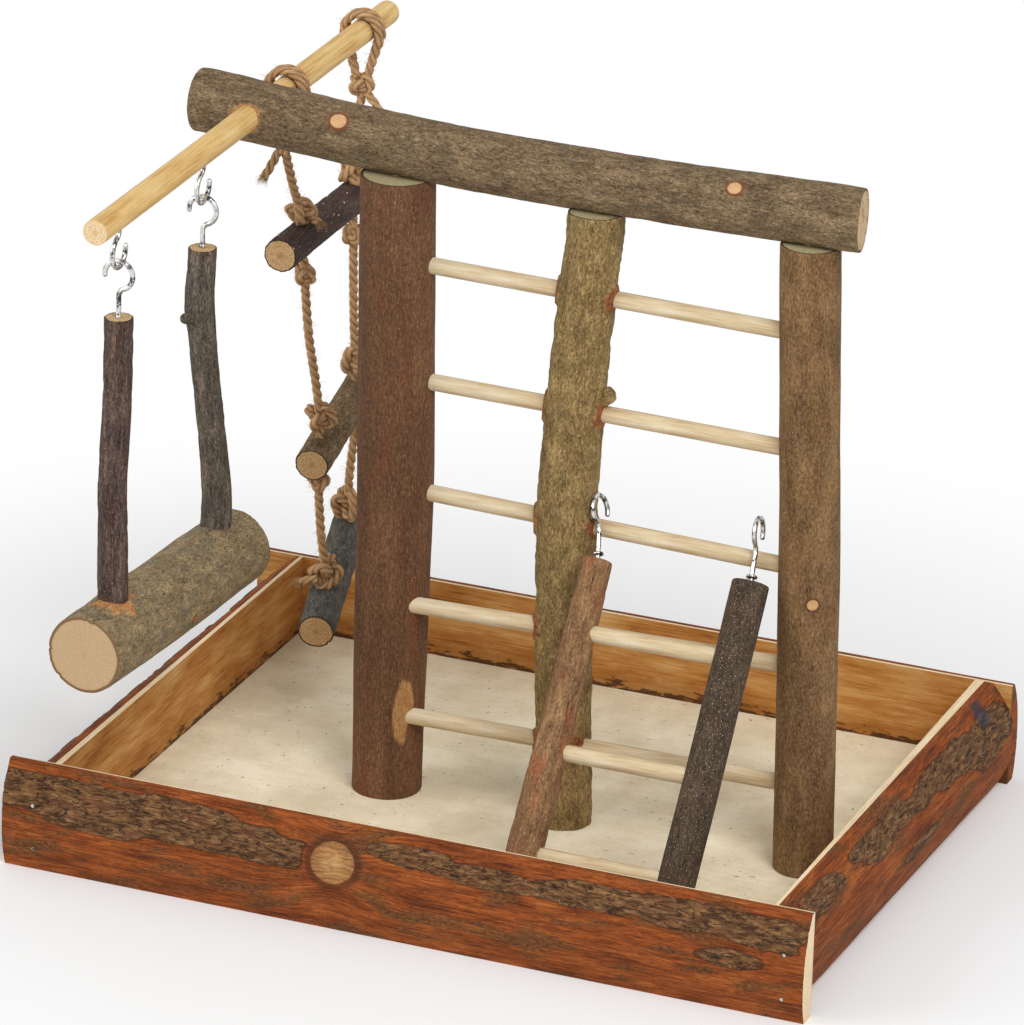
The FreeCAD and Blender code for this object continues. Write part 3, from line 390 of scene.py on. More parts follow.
def grained(name, rough, specular=0.25):
    """A paint, and the place along and across the wood that each mesh keeps on its points."""
    job = Paint(name, rough, specular)
    return job, job.attribute("grain", vector=True)


def bark_paint(
    name, colours, blotch, fibre=(1.2, 1.2, 8), lump=(9, 9, 22), speck="c9c2b4", specks=0.72, crack="2a2119",
    cracks=0.3, depth=0.5, scar="c39a6c", blotched=(0.5, 0.68), shares=(0.3, 0.3, 0.4), pits=0.0,
    torn=("855c3a", "a87b4c", "c49763"), ring="5d3520", dots=None,
):
    """Bark: fibres, lumps and a fine mottle, blotches of a second colour, cracks, pits, specks and knots."""
    job, grain = grained(name, 0.88)
    fibres = job.noise(grain, fibre, detail=5.0, rough=0.65)
    lumps = job.noise(grain, lump, detail=5.0, rough=0.6)
    mottle = job.noise(grain, (0.9, 0.9, 1.7), detail=3.0, rough=0.7)
    shade = job.blend(fibres, shares[0], lumps, shares[1])
    shade = job.sums("ADD", shade, job.part(mottle, shares[2]))
    colour = job.ramp(shade, [(0.37, colours[0]), (0.50, colours[1]), (0.63, colours[2])])
    patches = job.noise(grain, (lump[0] * 1.3, lump[1] * 1.3, lump[2] * 1.2), detail=6.0, rough=0.7)
    colour = job.mix(
        job.band(patches, *blotched, 0.6), colour,
        job.mix(job.band(mottle, 0.35, 0.65), job.mix(0.5, blotch, colours[0]), blotch))
    lines = job.noise(grain, (2.2, 2.2, 9), detail=3.0, rough=0.5, twist=0.6)
    open_line = job.part(job.threads(lines, 0.04), cracks)
    colour = job.mix(open_line, colour, crack)
    dark_spots = job.noise(grain, (1.0, 1.0, 1.3), detail=3.0, rough=0.7)
    colour = job.mix(job.band(dark_spots, 0.56, 0.66, pits), colour, crack)
    pale = job.noise(grain, (0.55, 0.55, 0.7), detail=2.0, rough=0.6)
    colour = job.mix(job.band(pale, specks, specks + 0.05), colour, speck)
    if dots:
        near = job.left_of(job.band(job.cells(grain, (4.2, 4.2, 4.2)), 0.11, 0.16))
        colour = job.mix(near, colour, dots)
    heart = job.attribute("scar")
    colour = job.mix(job.band(heart, 0.25, 0.42, 0.8), colour, ring)
    colour = job.mix(
        job.band(heart, 0.48, 0.58), colour,
        job.mix(job.band(job.noise(grain, (1.2, 1.2, 1.2)), 0.56, 0.80), scar, ring))
    bare = job.attribute("bare")
    shown = job.ramp(
        job.mix(0.5, fibres, mottle), [(0.36, torn[0]), (0.5, torn[1]), (0.64, torn[2])])
    colour = job.mix(bare, colour, shown)
    height = job.sums("SUBTRACT", shade, job.part(open_line, 0.4))
    height = job.sums("ADD", height, job.part(pale, 0.15))
    return job.finish(colour, height, depth * 2)


def end_paint(name, light, dark, heart=None, rim="3b2a1e"):
    """A sawn end: rings round the heart, fine radial lines and a thin rim of bark."""
    job, grain = grained(name, 0.9)
    split = job.add("ShaderNodeSeparateXYZ")
    job.feed(split.inputs[0], grain)
    across, up = split.outputs[0], split.outputs[1]
    reach = job.sums("SQRT", job.sums(
        "ADD", job.part(across, across), job.part(up, up)))
    wander = job.noise(grain, (5, 5, 5), detail=2.0)
    rings = job.sums("SINE", job.part(job.sums("ADD", reach, job.part(wander, 2.4)), 3.9))
    fleck = job.noise(grain, (0.7, 0.7, 0.7), detail=4.0)
    turn = job.sums("ARCTAN2", up, across)
    rays = job.add("ShaderNodeTexNoise", noise_dimensions="1D")
    job.feed(rays.inputs["W"], job.part(turn, 9.0))
    rays.inputs["Scale"].default_value = 1.0
    shade = job.sums("ADD", job.part(rings, 0.05), fleck)
    shade = job.sums("ADD", shade, job.part(rays.outputs["Fac"], 0.25))
    colour = job.ramp(shade, [(0.42, dark), (0.75, light)])
    core = job.left_of(job.band(reach, 0.6, 2.2))
    colour = job.mix(job.part(core, 0.7), colour, dark)
    if heart:
        stain = job.band(wander, 0.52, 0.64, 0.7)
        colour = job.mix(stain, colour, heart)
    edge = job.attribute("rim")
    colour = job.mix(job.band(edge, 0.90, 0.95), colour, rim)
    return job.finish(colour, shade, 0.25)


def dowel_paint(name, colours, pore):
    """Smooth turned dowel: faint straight grain and small flecks."""
    job, grain = grained(name, 0.62, 0.3)
    lines = job.noise(grain, (1.1, 1.1, 30), detail=4.0, rough=0.6)
    drift = job.noise(grain, (6, 6, 34), detail=3.0)
    shade = job.blend(lines, 0.5, drift, 0.5)
    colour = job.ramp(shade, [(0.36, colours[0]), (0.50, colours[1]), (0.64, colours[2])])
    pores = job.noise(grain, (0.5, 0.5, 3), detail=3.0)
    colour = job.mix(job.band(pores, 0.66, 0.72, 0.6), colour, pore)
    return job.finish(colour, lines, 0.08)


def split_bark_paint():
    """The outside of the tray's boards: red-brown inner bark, plates of grey bark on it, a cut knot."""
    job, grain = grained("split_log_bark", 0.85)
    fibres = job.noise(grain, (1.0, 1.0, 20), detail=6.0, rough=0.65, twist=0.6)
    drift = job.noise(grain, (8, 8, 46), detail=4.0, rough=0.6)
    shade = job.blend(fibres, 0.55, drift, 0.45)
    inner = job.ramp(
        shade, [(0.34, "3e1b09"), (0.43, "6f3512"), (0.52, "924a1c"), (0.60, "a85e2a"), (0.72, "c17e47")])
    scratch = job.noise(grain, (0.8, 0.8, 9), detail=3.0)
    inner = job.mix(job.band(scratch, 0.60, 0.68, 0.7), inner, "38180a")
    crumble = job.noise(grain, (1.1, 1.1, 2.2), detail=5.0, rough=0.75)
    rough_brown = job.ramp(crumble, [(0.34, "2f1a0b"), (0.48, "5e3b1e"), (0.62, "805730")])
    worn = job.noise(grain, (11, 11, 42), detail=6.0, rough=0.65)
    inner = job.mix(job.band(worn, 0.50, 0.60, 0.8), inner, rough_brown)
    lumps = job.noise(grain, (2.4, 2.4, 8), detail=6.0, rough=0.72)
    outer = job.ramp(lumps, [(0.32, "2d1b0f"), (0.44, "573a21"), (0.55, "7a5736"), (0.68, "9f774c")])
    rusty = job.noise(grain, (5, 5, 16), detail=4.0)
    outer = job.mix(job.band(rusty, 0.54, 0.66, 0.6), outer, "6f3d26")
    splits = job.noise(grain, (3.0, 3.0, 13), detail=3.0, twist=0.8)
    crack = job.threads(splits, 0.035)
    outer = job.mix(job.part(crack, 0.85), outer, "1d120d")
    patch = job.attribute("patch")
    colour = job.mix(job.band(patch, 0.02, 0.3, 0.75), inner, "3a2016")
    colour = job.mix(job.band(patch, 0.4, 0.7), colour, outer)
    heart = job.attribute("scar")
    swirl = job.band(heart, 0.30, 0.44)
    colour = job.mix(job.part(swirl, 0.7), colour, "4e2a18")
    disc = job.ramp(
        job.blend(lumps, 0.6, heart, 0.4),
        [(0.40, "7d4a26"), (0.62, "b58552"), (0.80, "cfa472")])
    colour = job.mix(job.band(heart, 0.50, 0.54), colour, disc)
    stain = job.attribute("stain")
    colour = job.mix(job.part(stain, 0.75), colour, "2b3340")
    height = job.sums("SUBTRACT", shade, job.part(crack, 0.35))
    height = job.sums("ADD", height, job.part(crumble, 0.25))
    return job.finish(colour, height, 0.9)


def inner_face_paint():
    """The boards' flat faces: golden wood with streaks, darker in ragged steps towards the foot, where they
    meet the floor.
    """
    job, grain = grained("split_log_face", 0.75)
    lines = job.noise(grain, (0.9, 0.9, 26), detail=5.0, rough=0.6, twist=0.3)
    drift = job.noise(grain, (9, 9, 40), detail=4.0)
    shade = job.blend(lines, 0.4, drift, 0.6)
    colour = job.ramp(
        shade, [(0.34, "834d1f"), (0.44, "ae7234"), (0.54, "c48e4e"), (0.66, "d5ab72")])
    foot = job.attribute("foot")
    tatters = job.noise(grain, (3, 3, 11), detail=6.0, rough=0.7)
    ragged = job.sums("ADD", foot, job.part(job.sums("SUBTRACT", tatters, 0.5), 1.5))
    # darker towards the foot in two ragged steps, the darkest within a few millimetres of the floor
    colour = job.mix(job.band(ragged, 0.30, 0.75, 0.55), colour, "9a6126")
    colour = job.mix(job.band(ragged, 0.82, 0.95, 0.9), colour, "44260f")
    fleck = job.noise(grain, (2.0, 2.0, 6), detail=5.0)
    colour = job.mix(job.band(fleck, 0.64, 0.72, 0.75), colour, "54331a")
    return job.finish(colour, lines, 0.3)


def sawn_paint():
    """Pale sawn wood on the boards' top edges and ends."""
    job, grain = grained("split_log_sawn", 0.8)
    lines = job.noise(grain, (1.0, 1.0, 24), detail=4.0)
    fleck = job.noise(grain, (1.2, 1.2, 1.6), detail=4.0)
    shade = job.blend(lines, 0.6, fleck, 0.4)
    colour = job.ramp(shade, [(0.30, "c59f6d"), (0.46, "e3c9a0"), (0.62, "f0dfc2")])
    return job.finish(colour, fleck, 0.2)


def floor_paint():
    """The tray's floor: pale sheet wood with faint grain, fine specks and crumbs of bark."""
    job = Paint("floor_plank", 0.85, 0.2)
    place = job.place()
    grain = job.noise(place, (0.060, 0.0020, 0.01), detail=5.0, rough=0.6)
    drift = job.noise(place, (0.03, 0.03, 0.03), detail=5.0)
    shade = job.blend(grain, 0.2, drift, 0.8)
    colour = job.ramp(shade, [(0.34, "d8c9a9"), (0.50, "e8dabb"), (0.64, "f5e9ce")])
    specks = job.noise(place, (0.0011, 0.0011, 0.0011), detail=3.0)
    colour = job.mix(job.band(specks, 0.63, 0.70, 0.55), colour, "93815d")
    crumbs = job.noise(place, (0.0026, 0.0020, 0.0022), detail=4.0)
    crumbs = job.band(crumbs, 0.67, 0.70, 0.8)
    colour = job.mix(crumbs, colour, "5f4830")
    return job.finish(colour, job.sums("ADD", grain, crumbs), 0.15)


def metal_paint(name, colour, rough):
    """Zinc-plated wire: bright, with a painted reflection: dark and light bands in its colour, as the room
    would mirror in it.
    """
    job = Paint(name, rough)
    job.shader.inputs["Metallic"].default_value = 1.0
    place = job.place()
    painted_reflection_noise = job.noise(place, (0.0030, 0.0030, 0.0030), detail=3.0)
    # painted reflection: the base colour runs in bands from dark grey through the given colour to near white
    shade = job.ramp(painted_reflection_noise, [(0.38, "3f3f3e"), (0.50, colour), (0.62, "dededb")])
    return job.finish(shade, painted_reflection_noise, 0.02)


def jute_paint():
    """Twisted jute: fibres along each strand, light and dark, matt, with painted shade in the grooves between
    strands.
    """
    job, grain = grained("jute_rope", 0.95, 0.1)
    fibres = job.noise(grain, (0.35, 0.35, 4.5), detail=4.0, rough=0.7)
    drift = job.noise(grain, (2.5, 2.5, 6), detail=3.0)
    shade = job.blend(fibres, 0.7, drift, 0.3)
    colour = job.ramp(shade, [(0.28, "7b5e41"), (0.45, "ae8862"), (0.58, "cfa77b"), (0.74, "f2cfa1")])
    # painted shade: the grooves between the strands are darkened towards 543c27
    strand_groove_shade = job.attribute("strand_groove_shade")
    colour = job.mix(job.part(strand_groove_shade, 0.6), colour, "543c27")
    return job.finish(colour, fibres, 0.35)


# ---------------------------------------------------------------- limbs of natural wood

def smooth_relief(p, seed):
    return 0.45 * layered(p, (13, 13, 50), seed) + 0.14 * layered(p, (1.5, 1.5, 16), seed + 5)


def rough_relief(p, seed):
    return 0.9 * layered(p, (8, 8, 16), seed) + 0.55 * (ridges(p, (5, 5, 9), seed + 5) - 0.6)


def fissured_relief(p, seed):
    return 0.5 * layered(p, (12, 12, 40), seed) + 0.4 * (ridges(p, (2.6, 2.6, 14), seed + 5) - 0.6)


def pitted_relief(p, seed):
    pits = smooth_step(layered(p, (3.2, 3.2, 4.5), seed + 7, 2), 0.42, 0.7)
    return 0.55 * layered(p, (11, 11, 30), seed) + 0.25 * layered(p, (2.2, 2.2, 6), seed + 5) - 0.9 * pits


def fibrous_relief(p, seed):
    return 0.5 * layered(p, (4.5, 4.5, 24), seed) + 0.4 * (ridges(p, (1.5, 1.5, 14), seed + 5) - 0.6)


def turned_relief(p, seed):
    return 0.05 * layered(p, (2, 2, 40), seed)


def mark_effects(marks, world, outward, centres):
    """Knots and bare patches near a limb's surface: how far each lifts it, and how much of it shows."""
    lift = np.zeros(len(world))
    scar = np.zeros(len(world))
    bare = np.zeros(len(world))
    for kind, spot, size, height in marks:
        spot = np.array(spot, float)
        apart = world - spot
        apart -= outward * np.einsum("ij,ij->i", apart, outward)[:, None]
        away = np.linalg.norm(apart / np.array(size, float), axis=1)
        facing = np.einsum("ij,ij->i", outward, spot - centres) > 0
        near = np.clip(1 - away, 0, 1) * facing
        if kind == "knot":
            lift += height * smooth_step(near, 0, 0.45) - 0.35 * height * smooth_step(near, 0.55, 0.7)
            scar = np.maximum(scar, near)
        else:
            edge = near + 0.25 * noise(world, (4, 4, 7), 91) * (near > 0)
            shown = smooth_step(edge, 0.25, 0.38)
            lift += height * shown
            bare = np.maximum(bare, shown)
    return lift, scar, bare


CAP_SHARES = (0.97, 0.80, 0.55, 0.30, 0.10)
BEVEL_ROW = 0.4
BEVEL_CUT = 0.6
SLANT_REACH = 25
SAW_MARKS = 0.08


def twig(name, start, end, thick, thin, *args, **settings):
    """A short limb between two points, for a stub that the CAD has fused into a larger limb."""
    start = np.array(start, float)
    run = np.array(end, float) - start
    length = np.linalg.norm(run)
    side, up, along = axes_along(run)
    line = np.array([
        (start @ side, start @ up, start @ along + share * length, thick + (thin - thick) * share)
        for share in (0.0, 0.5, 1.0)
    ])
    return limb(name, None, run, *args, line=line, soften=0, **settings)


def limb(
    name, node, direction, body, slot, bark, end, relief, seed, sides, step=1.1, marks=(), bevel=0.7,
    slices=36, soften=5, line=None, extend=(0.0, 0.0), slant=(0.0, 0.0),
):
    """A limb of natural wood in place of a CAD node: bark relief, knots and sawn ends.

    line gives its middle line where the CAD has none, extend lengthens its two ends, and
    slant cuts them askew.
    """
    if line is None:
        line, (side, up, along) = limb_line(node, direction, slices)
    else:
        side, up, along = axes_along(direction)
    rows = max(4, int((line[-1, 2] - line[0, 2]) / step))
    heights = np.linspace(line[0, 2] - extend[0], line[-1, 2] + extend[1], rows)
    inset = bevel * BEVEL_ROW
    heights = np.sort(np.append(heights, [heights[0] + inset, heights[-1] - inset]))
    rows = len(heights)
    middle_x = np.interp(heights, line[:, 2], smoothed(line[:, 0], soften))
    middle_y = np.interp(heights, line[:, 2], smoothed(line[:, 1], soften))
    radius = np.interp(heights, line[:, 2], smoothed(line[:, 3], soften))
    turns = np.arange(sides) * 2 * math.pi / sides
    ray_x, ray_y = np.cos(turns), np.sin(turns)
    local = np.stack([
        (radius[:, None] * ray_x).ravel(),
        (radius[:, None] * ray_y).ravel(),
        np.repeat(heights, sides),
    ], axis=1)
    centres = (
        np.repeat(middle_x, sides)[:, None] * side
        + np.repeat(middle_y, sides)[:, None] * up
        + local[:, 2:3] * along
    )
    outward = np.tile(ray_x, rows)[:, None] * side + np.tile(ray_y, rows)[:, None] * up
    world = centres + outward * np.repeat(radius, sides)[:, None]
    lift, scar, bare = mark_effects(marks, world, outward, centres)
    bump = relief(local, seed) * (1 - 0.7 * np.maximum(bare, smooth_step(scar, 0.4, 0.6))) + lift
    ends = np.minimum(local[:, 2] - heights[0], heights[-1] - local[:, 2])
    bump -= bevel * (1 - smooth_step(ends, -bevel, bevel)) * BEVEL_CUT
    world += outward * bump[:, None]
    lean = slant[0] * (1 - smooth_step(local[:, 2] - heights[0], 0, SLANT_REACH))
    lean += slant[1] * (1 - smooth_step(heights[-1] - local[:, 2], 0, SLANT_REACH))
    world += along * (lean * (world - centres)[:, 1])[:, None]
    points = [world]
    grains = [local]
    rims = [np.ones(len(world))]
    faces = grid_faces(rows, sides, True)
    choice = [0] * len(faces)
    count = len(world)
    for last, row in ((False, 0), (True, rows - 1)):
        outline = world[row * sides:(row + 1) * sides]
        flat = local[row * sides:(row + 1) * sides]
        middle = outline.mean(axis=0)
        before = row * sides
        for share in CAP_SHARES:
            ring_grain = flat * (share, share, 1)
            scored = SAW_MARKS * noise(ring_grain, (1.5, 5, 5), seed + 40)[:, None]
            points.append(middle + (outline - middle) * share + along * scored)
            grains.append(ring_grain)
            rims.append(np.full(sides, share))
            for column in range(sides):
                after = (column + 1) % sides
                quad = (before + column, before + after, count + after, count + column)
                faces.append(quad if last else quad[::-1])
                choice.append(1)
            before = count
            count += sides
        points.append(middle[None])
        grains.append(np.array([[0, 0, flat[0, 2]]]))
        rims.append(np.zeros(1))
        for column in range(sides):
            after = (column + 1) % sides
            tip = (before + column, before + after, count)
            faces.append(tip if last else tip[::-1])
            choice.append(1)
        count += 1
    thing = new_object(name, np.concatenate(points), faces, [bark, end], choice)
    paint_vector(thing, "grain", np.concatenate(grains))
    paint(thing, "rim", np.concatenate(rims))
    extra = np.zeros(count - len(world))
    paint(thing, "scar", np.concatenate([scar, extra]))
    paint(thing, "bare", np.concatenate([bare, extra]))
    settle(thing, body, slot, *([node] if node else []))
    return thing


# ---------------------------------------------------------------- the tray's boards

FACE_STEPS = 12
TOP_STEPS = 8
BARK_STEPS = 84
FOOT_STEPS = 3
BOARD_HEIGHT = 52.0
FLOOR_TOP = 12.0
NOISE_SHIFT = 900
PLATE_LIMIT = (47.5, 50.5)
PLATE_RISE = 0.5
PLATE_RELIEF = 0.9
FIBRE_RELIEF = 0.30
SWELL_RELIEF = 0.5
KNOT_RISE = 1.6
KNOT_SINK = 1.1
AT_END = 0.05


def outer_chain(heights, reach):
    """The points of a board's end that lie furthest out, without the nail holes between them."""
    chain = []
    for height, out in sorted(zip(heights.tolist(), reach.tolist())):
        while len(chain) > 1:
            (low, near), (high, far) = chain[-2:]
            if (high - low) * (out - near) < (far - near) * (height - low):
                break
            chain.pop()
        chain.append((height, out))
    return np.array(chain)


def board_outline(node, along, across, way):
    """How far a board's bark side stands out at each height, at its two ends."""
    points = node_points(node)
    ends = []
    for limit in (points[:, along].min(), points[:, along].max()):
        section = points[np.abs(points[:, along] - limit) < AT_END]
        out = way * section[:, across]
        arc = section[out > out.min() + 1.0]
        chain = outer_chain(arc[:, 2].round(2), (way * arc[:, across]).round(3))
        ends.append((chain[:, 0], chain[:, 1]))
    inner = (way * points[:, across]).min()
    return points[:, along].min(), points[:, along].max(), inner, ends


def board(name, node, along, across, way, patches, seed, paints, pale=4, tip=2, knot=None, stain=None):
    """A half-log board: a flat face, a sawn top edge, and inner bark with plates of bark on it.

    patches are (along, up, half length, half height) of the plates; pale counts the columns of the
    top edge that are sawn wood; tip is the material of the ends; knot and stain are (along, up, radius).
    """
    start, end, inner, ends = board_outline(node, along, across, way)
    rows = int(end - start)
    stations = np.linspace(start, end, rows)
    face_rows = np.linspace(0, BOARD_HEIGHT, FACE_STEPS, endpoint=False)
    bark_rows = np.linspace(BOARD_HEIGHT, 0, BARK_STEPS, endpoint=False)
    columns = FACE_STEPS + TOP_STEPS + BARK_STEPS + FOOT_STEPS
    points = np.zeros((rows, columns, 3))
    lips = [np.interp(BOARD_HEIGHT, *edge) for edge in ends]
    feet = [np.interp(0, *edge) for edge in ends]
    arcs = [np.interp(bark_rows, *edge) for edge in ends]
    share = np.linspace(0, 1, rows)[:, None]
    lip = lips[0] + (lips[1] - lips[0]) * share
    foot = feet[0] + (feet[1] - feet[0]) * share
    arc = arcs[0] + (arcs[1] - arcs[0]) * share
    top = np.linspace(0, 1, TOP_STEPS, endpoint=False)[None]
    under = np.linspace(1, 0, FOOT_STEPS, endpoint=False)[None]
    out = np.concatenate([
        np.full((rows, FACE_STEPS), inner),
        inner + (lip - inner) * top,
        arc,
        inner + (foot - inner) * under,
    ], axis=1)
    up = np.concatenate([face_rows, np.full(TOP_STEPS, BOARD_HEIGHT), bark_rows, np.zeros(FOOT_STEPS)])
    up = np.repeat(up[None], rows, axis=0)
    level = up.ravel()
    place = np.repeat(stations, columns)
    girth = np.cumsum(np.concatenate([
        np.zeros((rows, 1)), np.hypot(np.diff(out, axis=1), np.diff(up, axis=1))], axis=1), axis=1)
    flat = np.stack([girth.ravel(), np.zeros(out.size), place + NOISE_SHIFT], axis=1)
    bark = np.zeros((rows, columns), bool)
    bark[:, FACE_STEPS + TOP_STEPS:FACE_STEPS + TOP_STEPS + BARK_STEPS] = True

    raggedness = layered(flat, (7, 7, 24), seed, 4)
    spread = np.full(out.size, -0.55)
    for centre, height, half_length, half_height in patches:
        near = 1 - np.hypot((place - centre) / half_length, (level - height) / half_height)
        spread = np.maximum(spread, np.clip(near, -1, 1))
    spread -= 1.2 * smooth_step(level + 2.5 * raggedness, *PLATE_LIMIT)
    patch = smooth_step(spread + 0.45 * raggedness, -0.02, 0.12) * bark.ravel()
    plates = ridges(flat, (4.5, 4.5, 12), seed + 11)
    fibres = layered(flat, (1.3, 1.3, 20), seed + 17)
    swell = layered(flat, (14, 14, 60), seed + 23)
    lift = patch * (PLATE_RISE + PLATE_RELIEF * (plates - 0.4)) + (1 - patch) * FIBRE_RELIEF * fibres
    lift += SWELL_RELIEF * swell
    scar = np.zeros(out.size)
    if knot:
        away = np.hypot((place - knot[0]) / 1.15, level - knot[1]) / knot[2]
        scar = np.clip(1 - away * 0.5, 0, 1) * bark.ravel()
        lift += KNOT_RISE * smooth_step(scar, 0.25, 0.5) - KNOT_SINK * smooth_step(scar, 0.5, 0.56)
        patch *= 1 - smooth_step(scar, 0.2, 0.35)
        flat[:, 0] -= (level - knot[1]) * np.exp(-(away / 2.0) ** 2) * 0.8
    stained = np.zeros(out.size)
    if stain:
        away = np.hypot(place - stain[0], level - stain[1]) / stain[2]
        stained = smooth_step(1 - away + 0.4 * raggedness, 0.2, 0.5) * bark.ravel()
    lift = lift.reshape(rows, columns) * bark
    slope_out = np.gradient(out, axis=1)
    slope_up = np.gradient(up, axis=1)
    length = np.hypot(slope_out, slope_up) + 1e-9
    out = out - np.where(bark, slope_up / length, 0) * lift
    up = np.clip(up + np.where(bark, slope_out / length, 0) * lift * 0.6, 0, BOARD_HEIGHT)
    points[:, :, along] = stations[:, None]
    points[:, :, across] = way * out
    points[:, :, 2] = up

    faces = grid_faces(rows, columns, True)
    column = np.tile(np.arange(columns), rows - 1)
    choice = np.where(column < FACE_STEPS, 1, np.where(column < FACE_STEPS + pale, 2, 0))
    choice = np.where(column >= FACE_STEPS + TOP_STEPS + BARK_STEPS, 2, choice).tolist()
    flip = (way > 0) == (along == 0)
    faces = [face[::-1] for face in faces] if flip else faces
    first = tuple(range(columns))
    last = tuple((rows - 1) * columns + number for number in range(columns))
    faces += [first if flip else first[::-1], last[::-1] if flip else last]
    choice += [tip, tip]
    thing = new_object(name, points.reshape(-1, 3), faces, paints, choice)
    for cap in (-1, -2):
        thing.data.polygons[cap].use_smooth = False
    sharp_edges(thing, 40)
    flat[:, 2] -= NOISE_SHIFT
    paint_vector(thing, "grain", flat)
    paint(thing, "patch", patch)
    paint(thing, "scar", scar)
    paint(thing, "stain", stained)
    # how near each point is to the floor, for the darkening at the foot of the flat faces
    paint(thing, "foot", np.clip(1 - (up.ravel() - FLOOR_TOP) / 20, 0, 1))
    settle(thing, STAND, "split_log_bark", node)


def sharp_edges(thing, degrees):
    """Edges that turn by more than this are drawn sharp."""
    thing.data.set_sharp_from_angle(angle=math.radians(degrees))


# ---------------------------------------------------------------- tubes: wire and rope

def even_points(points, step):
    """Points a steady step apart along a line of points."""
    points = np.array(points, float)
    runs = np.linalg.norm(np.diff(points, axis=0), axis=1)
    way = np.concatenate([[0], np.cumsum(runs)])
    count = max(3, int(way[-1] / step) + 1)
    places = np.linspace(0, way[-1], count)
    return np.stack([np.interp(places, way, points[:, axis]) for axis in range(3)], axis=1), places


def frames_along(points, closed=False):
    """A direction across the line at each point, carried along it without twisting."""
    line = np.gradient(points, axis=0)
    if closed:
        line = np.roll(points, -1, axis=0) - np.roll(points, 1, axis=0)
    line /= np.linalg.norm(line, axis=1)[:, None]
    side = axes_along(line[0])[0]
    sides = []
    for direction in line:
        side = side - direction * side.dot(direction)
        side = side / np.linalg.norm(side)
        sides.append(side)
    sides = np.array(sides)
    return sides, np.cross(line, sides), line


def tube_mesh(name, points, reach, sides, material, closed=False):
    """A tube round a line of points; reach is the distance for each ring and side."""
    across, up, _ = frames_along(points, closed)
    turns = np.arange(sides) * 2 * math.pi / sides
    rings = (
        points[:, None]
        + across[:, None] * (np.cos(turns) * reach)[:, :, None]
        + up[:, None] * (np.sin(turns) * reach)[:, :, None]
    )
    rows = len(points)
    faces = grid_faces(rows, sides, True)
    if closed:
        start = (rows - 1) * sides
        faces += [(start + k, start + (k + 1) % sides, (k + 1) % sides, k) for k in range(sides)]
    else:
        faces.append(tuple(range(sides))[::-1])
        faces.append(tuple((rows - 1) * sides + k for k in range(sides)))
    return new_object(name, rings.reshape(-1, 3), faces, [material])


WIRE = 2.4
WIRE_SIDES = 14
WIRE_STEP = 0.35


def arc(centre, radius, start, end, count):
    return [
        (centre[0] + radius * math.cos(start + (end - start) * step / count), 0.0,
         centre[1] + radius * math.sin(start + (end - start) * step / count))
        for step in range(count + 1)
    ]


THREAD = 9.0
THREAD_SHOWN = 2.5
THREAD_DEPTH = 0.16
THREAD_PITCH = 1.0
BEND = 4.0
TIP_DROP = math.radians(15)


def hook_line(height, radius):
    """A screw hook in its own frame: shank, small bend and a ring left open at one side."""
    centre = height - radius
    climb = math.sqrt(radius ** 2 + 2 * radius * BEND)
    bend_height = centre - climb
    meet = math.atan2(-climb, BEND)
    sweep = math.pi + TIP_DROP - meet
    points = [(0, 0, -THREAD), (0, 0, bend_height - 1.0)]
    points += arc((BEND, bend_height), BEND, math.pi, math.pi + meet, 8)
    points += arc((0, centre), radius, meet, meet + sweep, 44)[1:]
    return points


def hook(name, node, body, height, radius, place, metal, thread=False):
    """A bright wire hook with a rounded tip, and a cut thread where its shank shows."""
    line, places = even_points(hook_line(height, radius), WIRE_STEP)
    world = np.array([place @ Vector(point) for point in line])
    reach = np.full(len(places), WIRE / 2)
    tip = np.clip((places[-1] - places) / (WIRE / 2), 0, 1)
    reach *= np.sqrt(1 - (1 - tip) ** 2) * 0.85 + 0.15
    if thread:
        cut = THREAD_DEPTH * np.sin(places * 2 * math.pi / THREAD_PITCH)
        reach += np.where(places < THREAD + THREAD_SHOWN, cut, 0)
    thing = tube_mesh(name, world, reach[:, None], WIRE_SIDES, metal)
    sharp_edges(thing, 60)
    settle(thing, body, "zinc_wire", node)


ROPE = 4.6
ROPE_SIDES = 36
ROPE_STEP = 0.45
ROPE_LAY = 15.0


def strand_reach(angles):
    """The outline of three strands laid together as a rope of radius 1, and how deep between them it is, as the
    mask for the painted shade in the grooves.
    """
    gap = (angles + math.pi / 3) % (2 * math.pi / 3) - math.pi / 3
    away, size = 0.47, 0.53
    reach = away * np.cos(gap) + np.sqrt(size ** 2 - (away * np.sin(gap)) ** 2)
    return reach, smooth_step(np.abs(gap), 0.55, 1.04)


def rope_surface(name, line, radius, jute, seed, closed=False):
    """A rope of three twisted strands along a line of points."""
    points, places = even_points(line, ROPE_STEP)
    if closed:
        points, places = points[:-1], places[:-1]
    rows = len(points)
    turns = np.arange(ROPE_SIDES) * 2 * math.pi / ROPE_SIDES
    twist = places * 2 * math.pi / ROPE_LAY
    if closed:
        thirds = max(1, round(places[-1] / ROPE_LAY * 3))
        twist = np.arange(rows) / rows * 2 * math.pi * thirds / 3
    angles = turns[None] + twist[:, None]
    reach, strand_groove_shade = strand_reach(angles)
    spots = np.stack([
        (radius * np.cos(angles)).ravel(),
        (radius * np.sin(angles)).ravel(),
        np.repeat(places, ROPE_SIDES),
    ], axis=1)
    rough = 0.05 * layered(spots, (0.5, 0.5, 3), seed) + 0.04 * layered(spots, (3, 3, 9), seed + 3)
    reach = (reach + rough.reshape(reach.shape)) * radius
    thing = tube_mesh(name, points, reach, ROPE_SIDES, jute, closed)
    paint_vector(thing, "grain", spots)
    # the groove mask that the rope's material darkens as painted shade
    paint(thing, "strand_groove_shade", strand_groove_shade.ravel())
    return thing, points


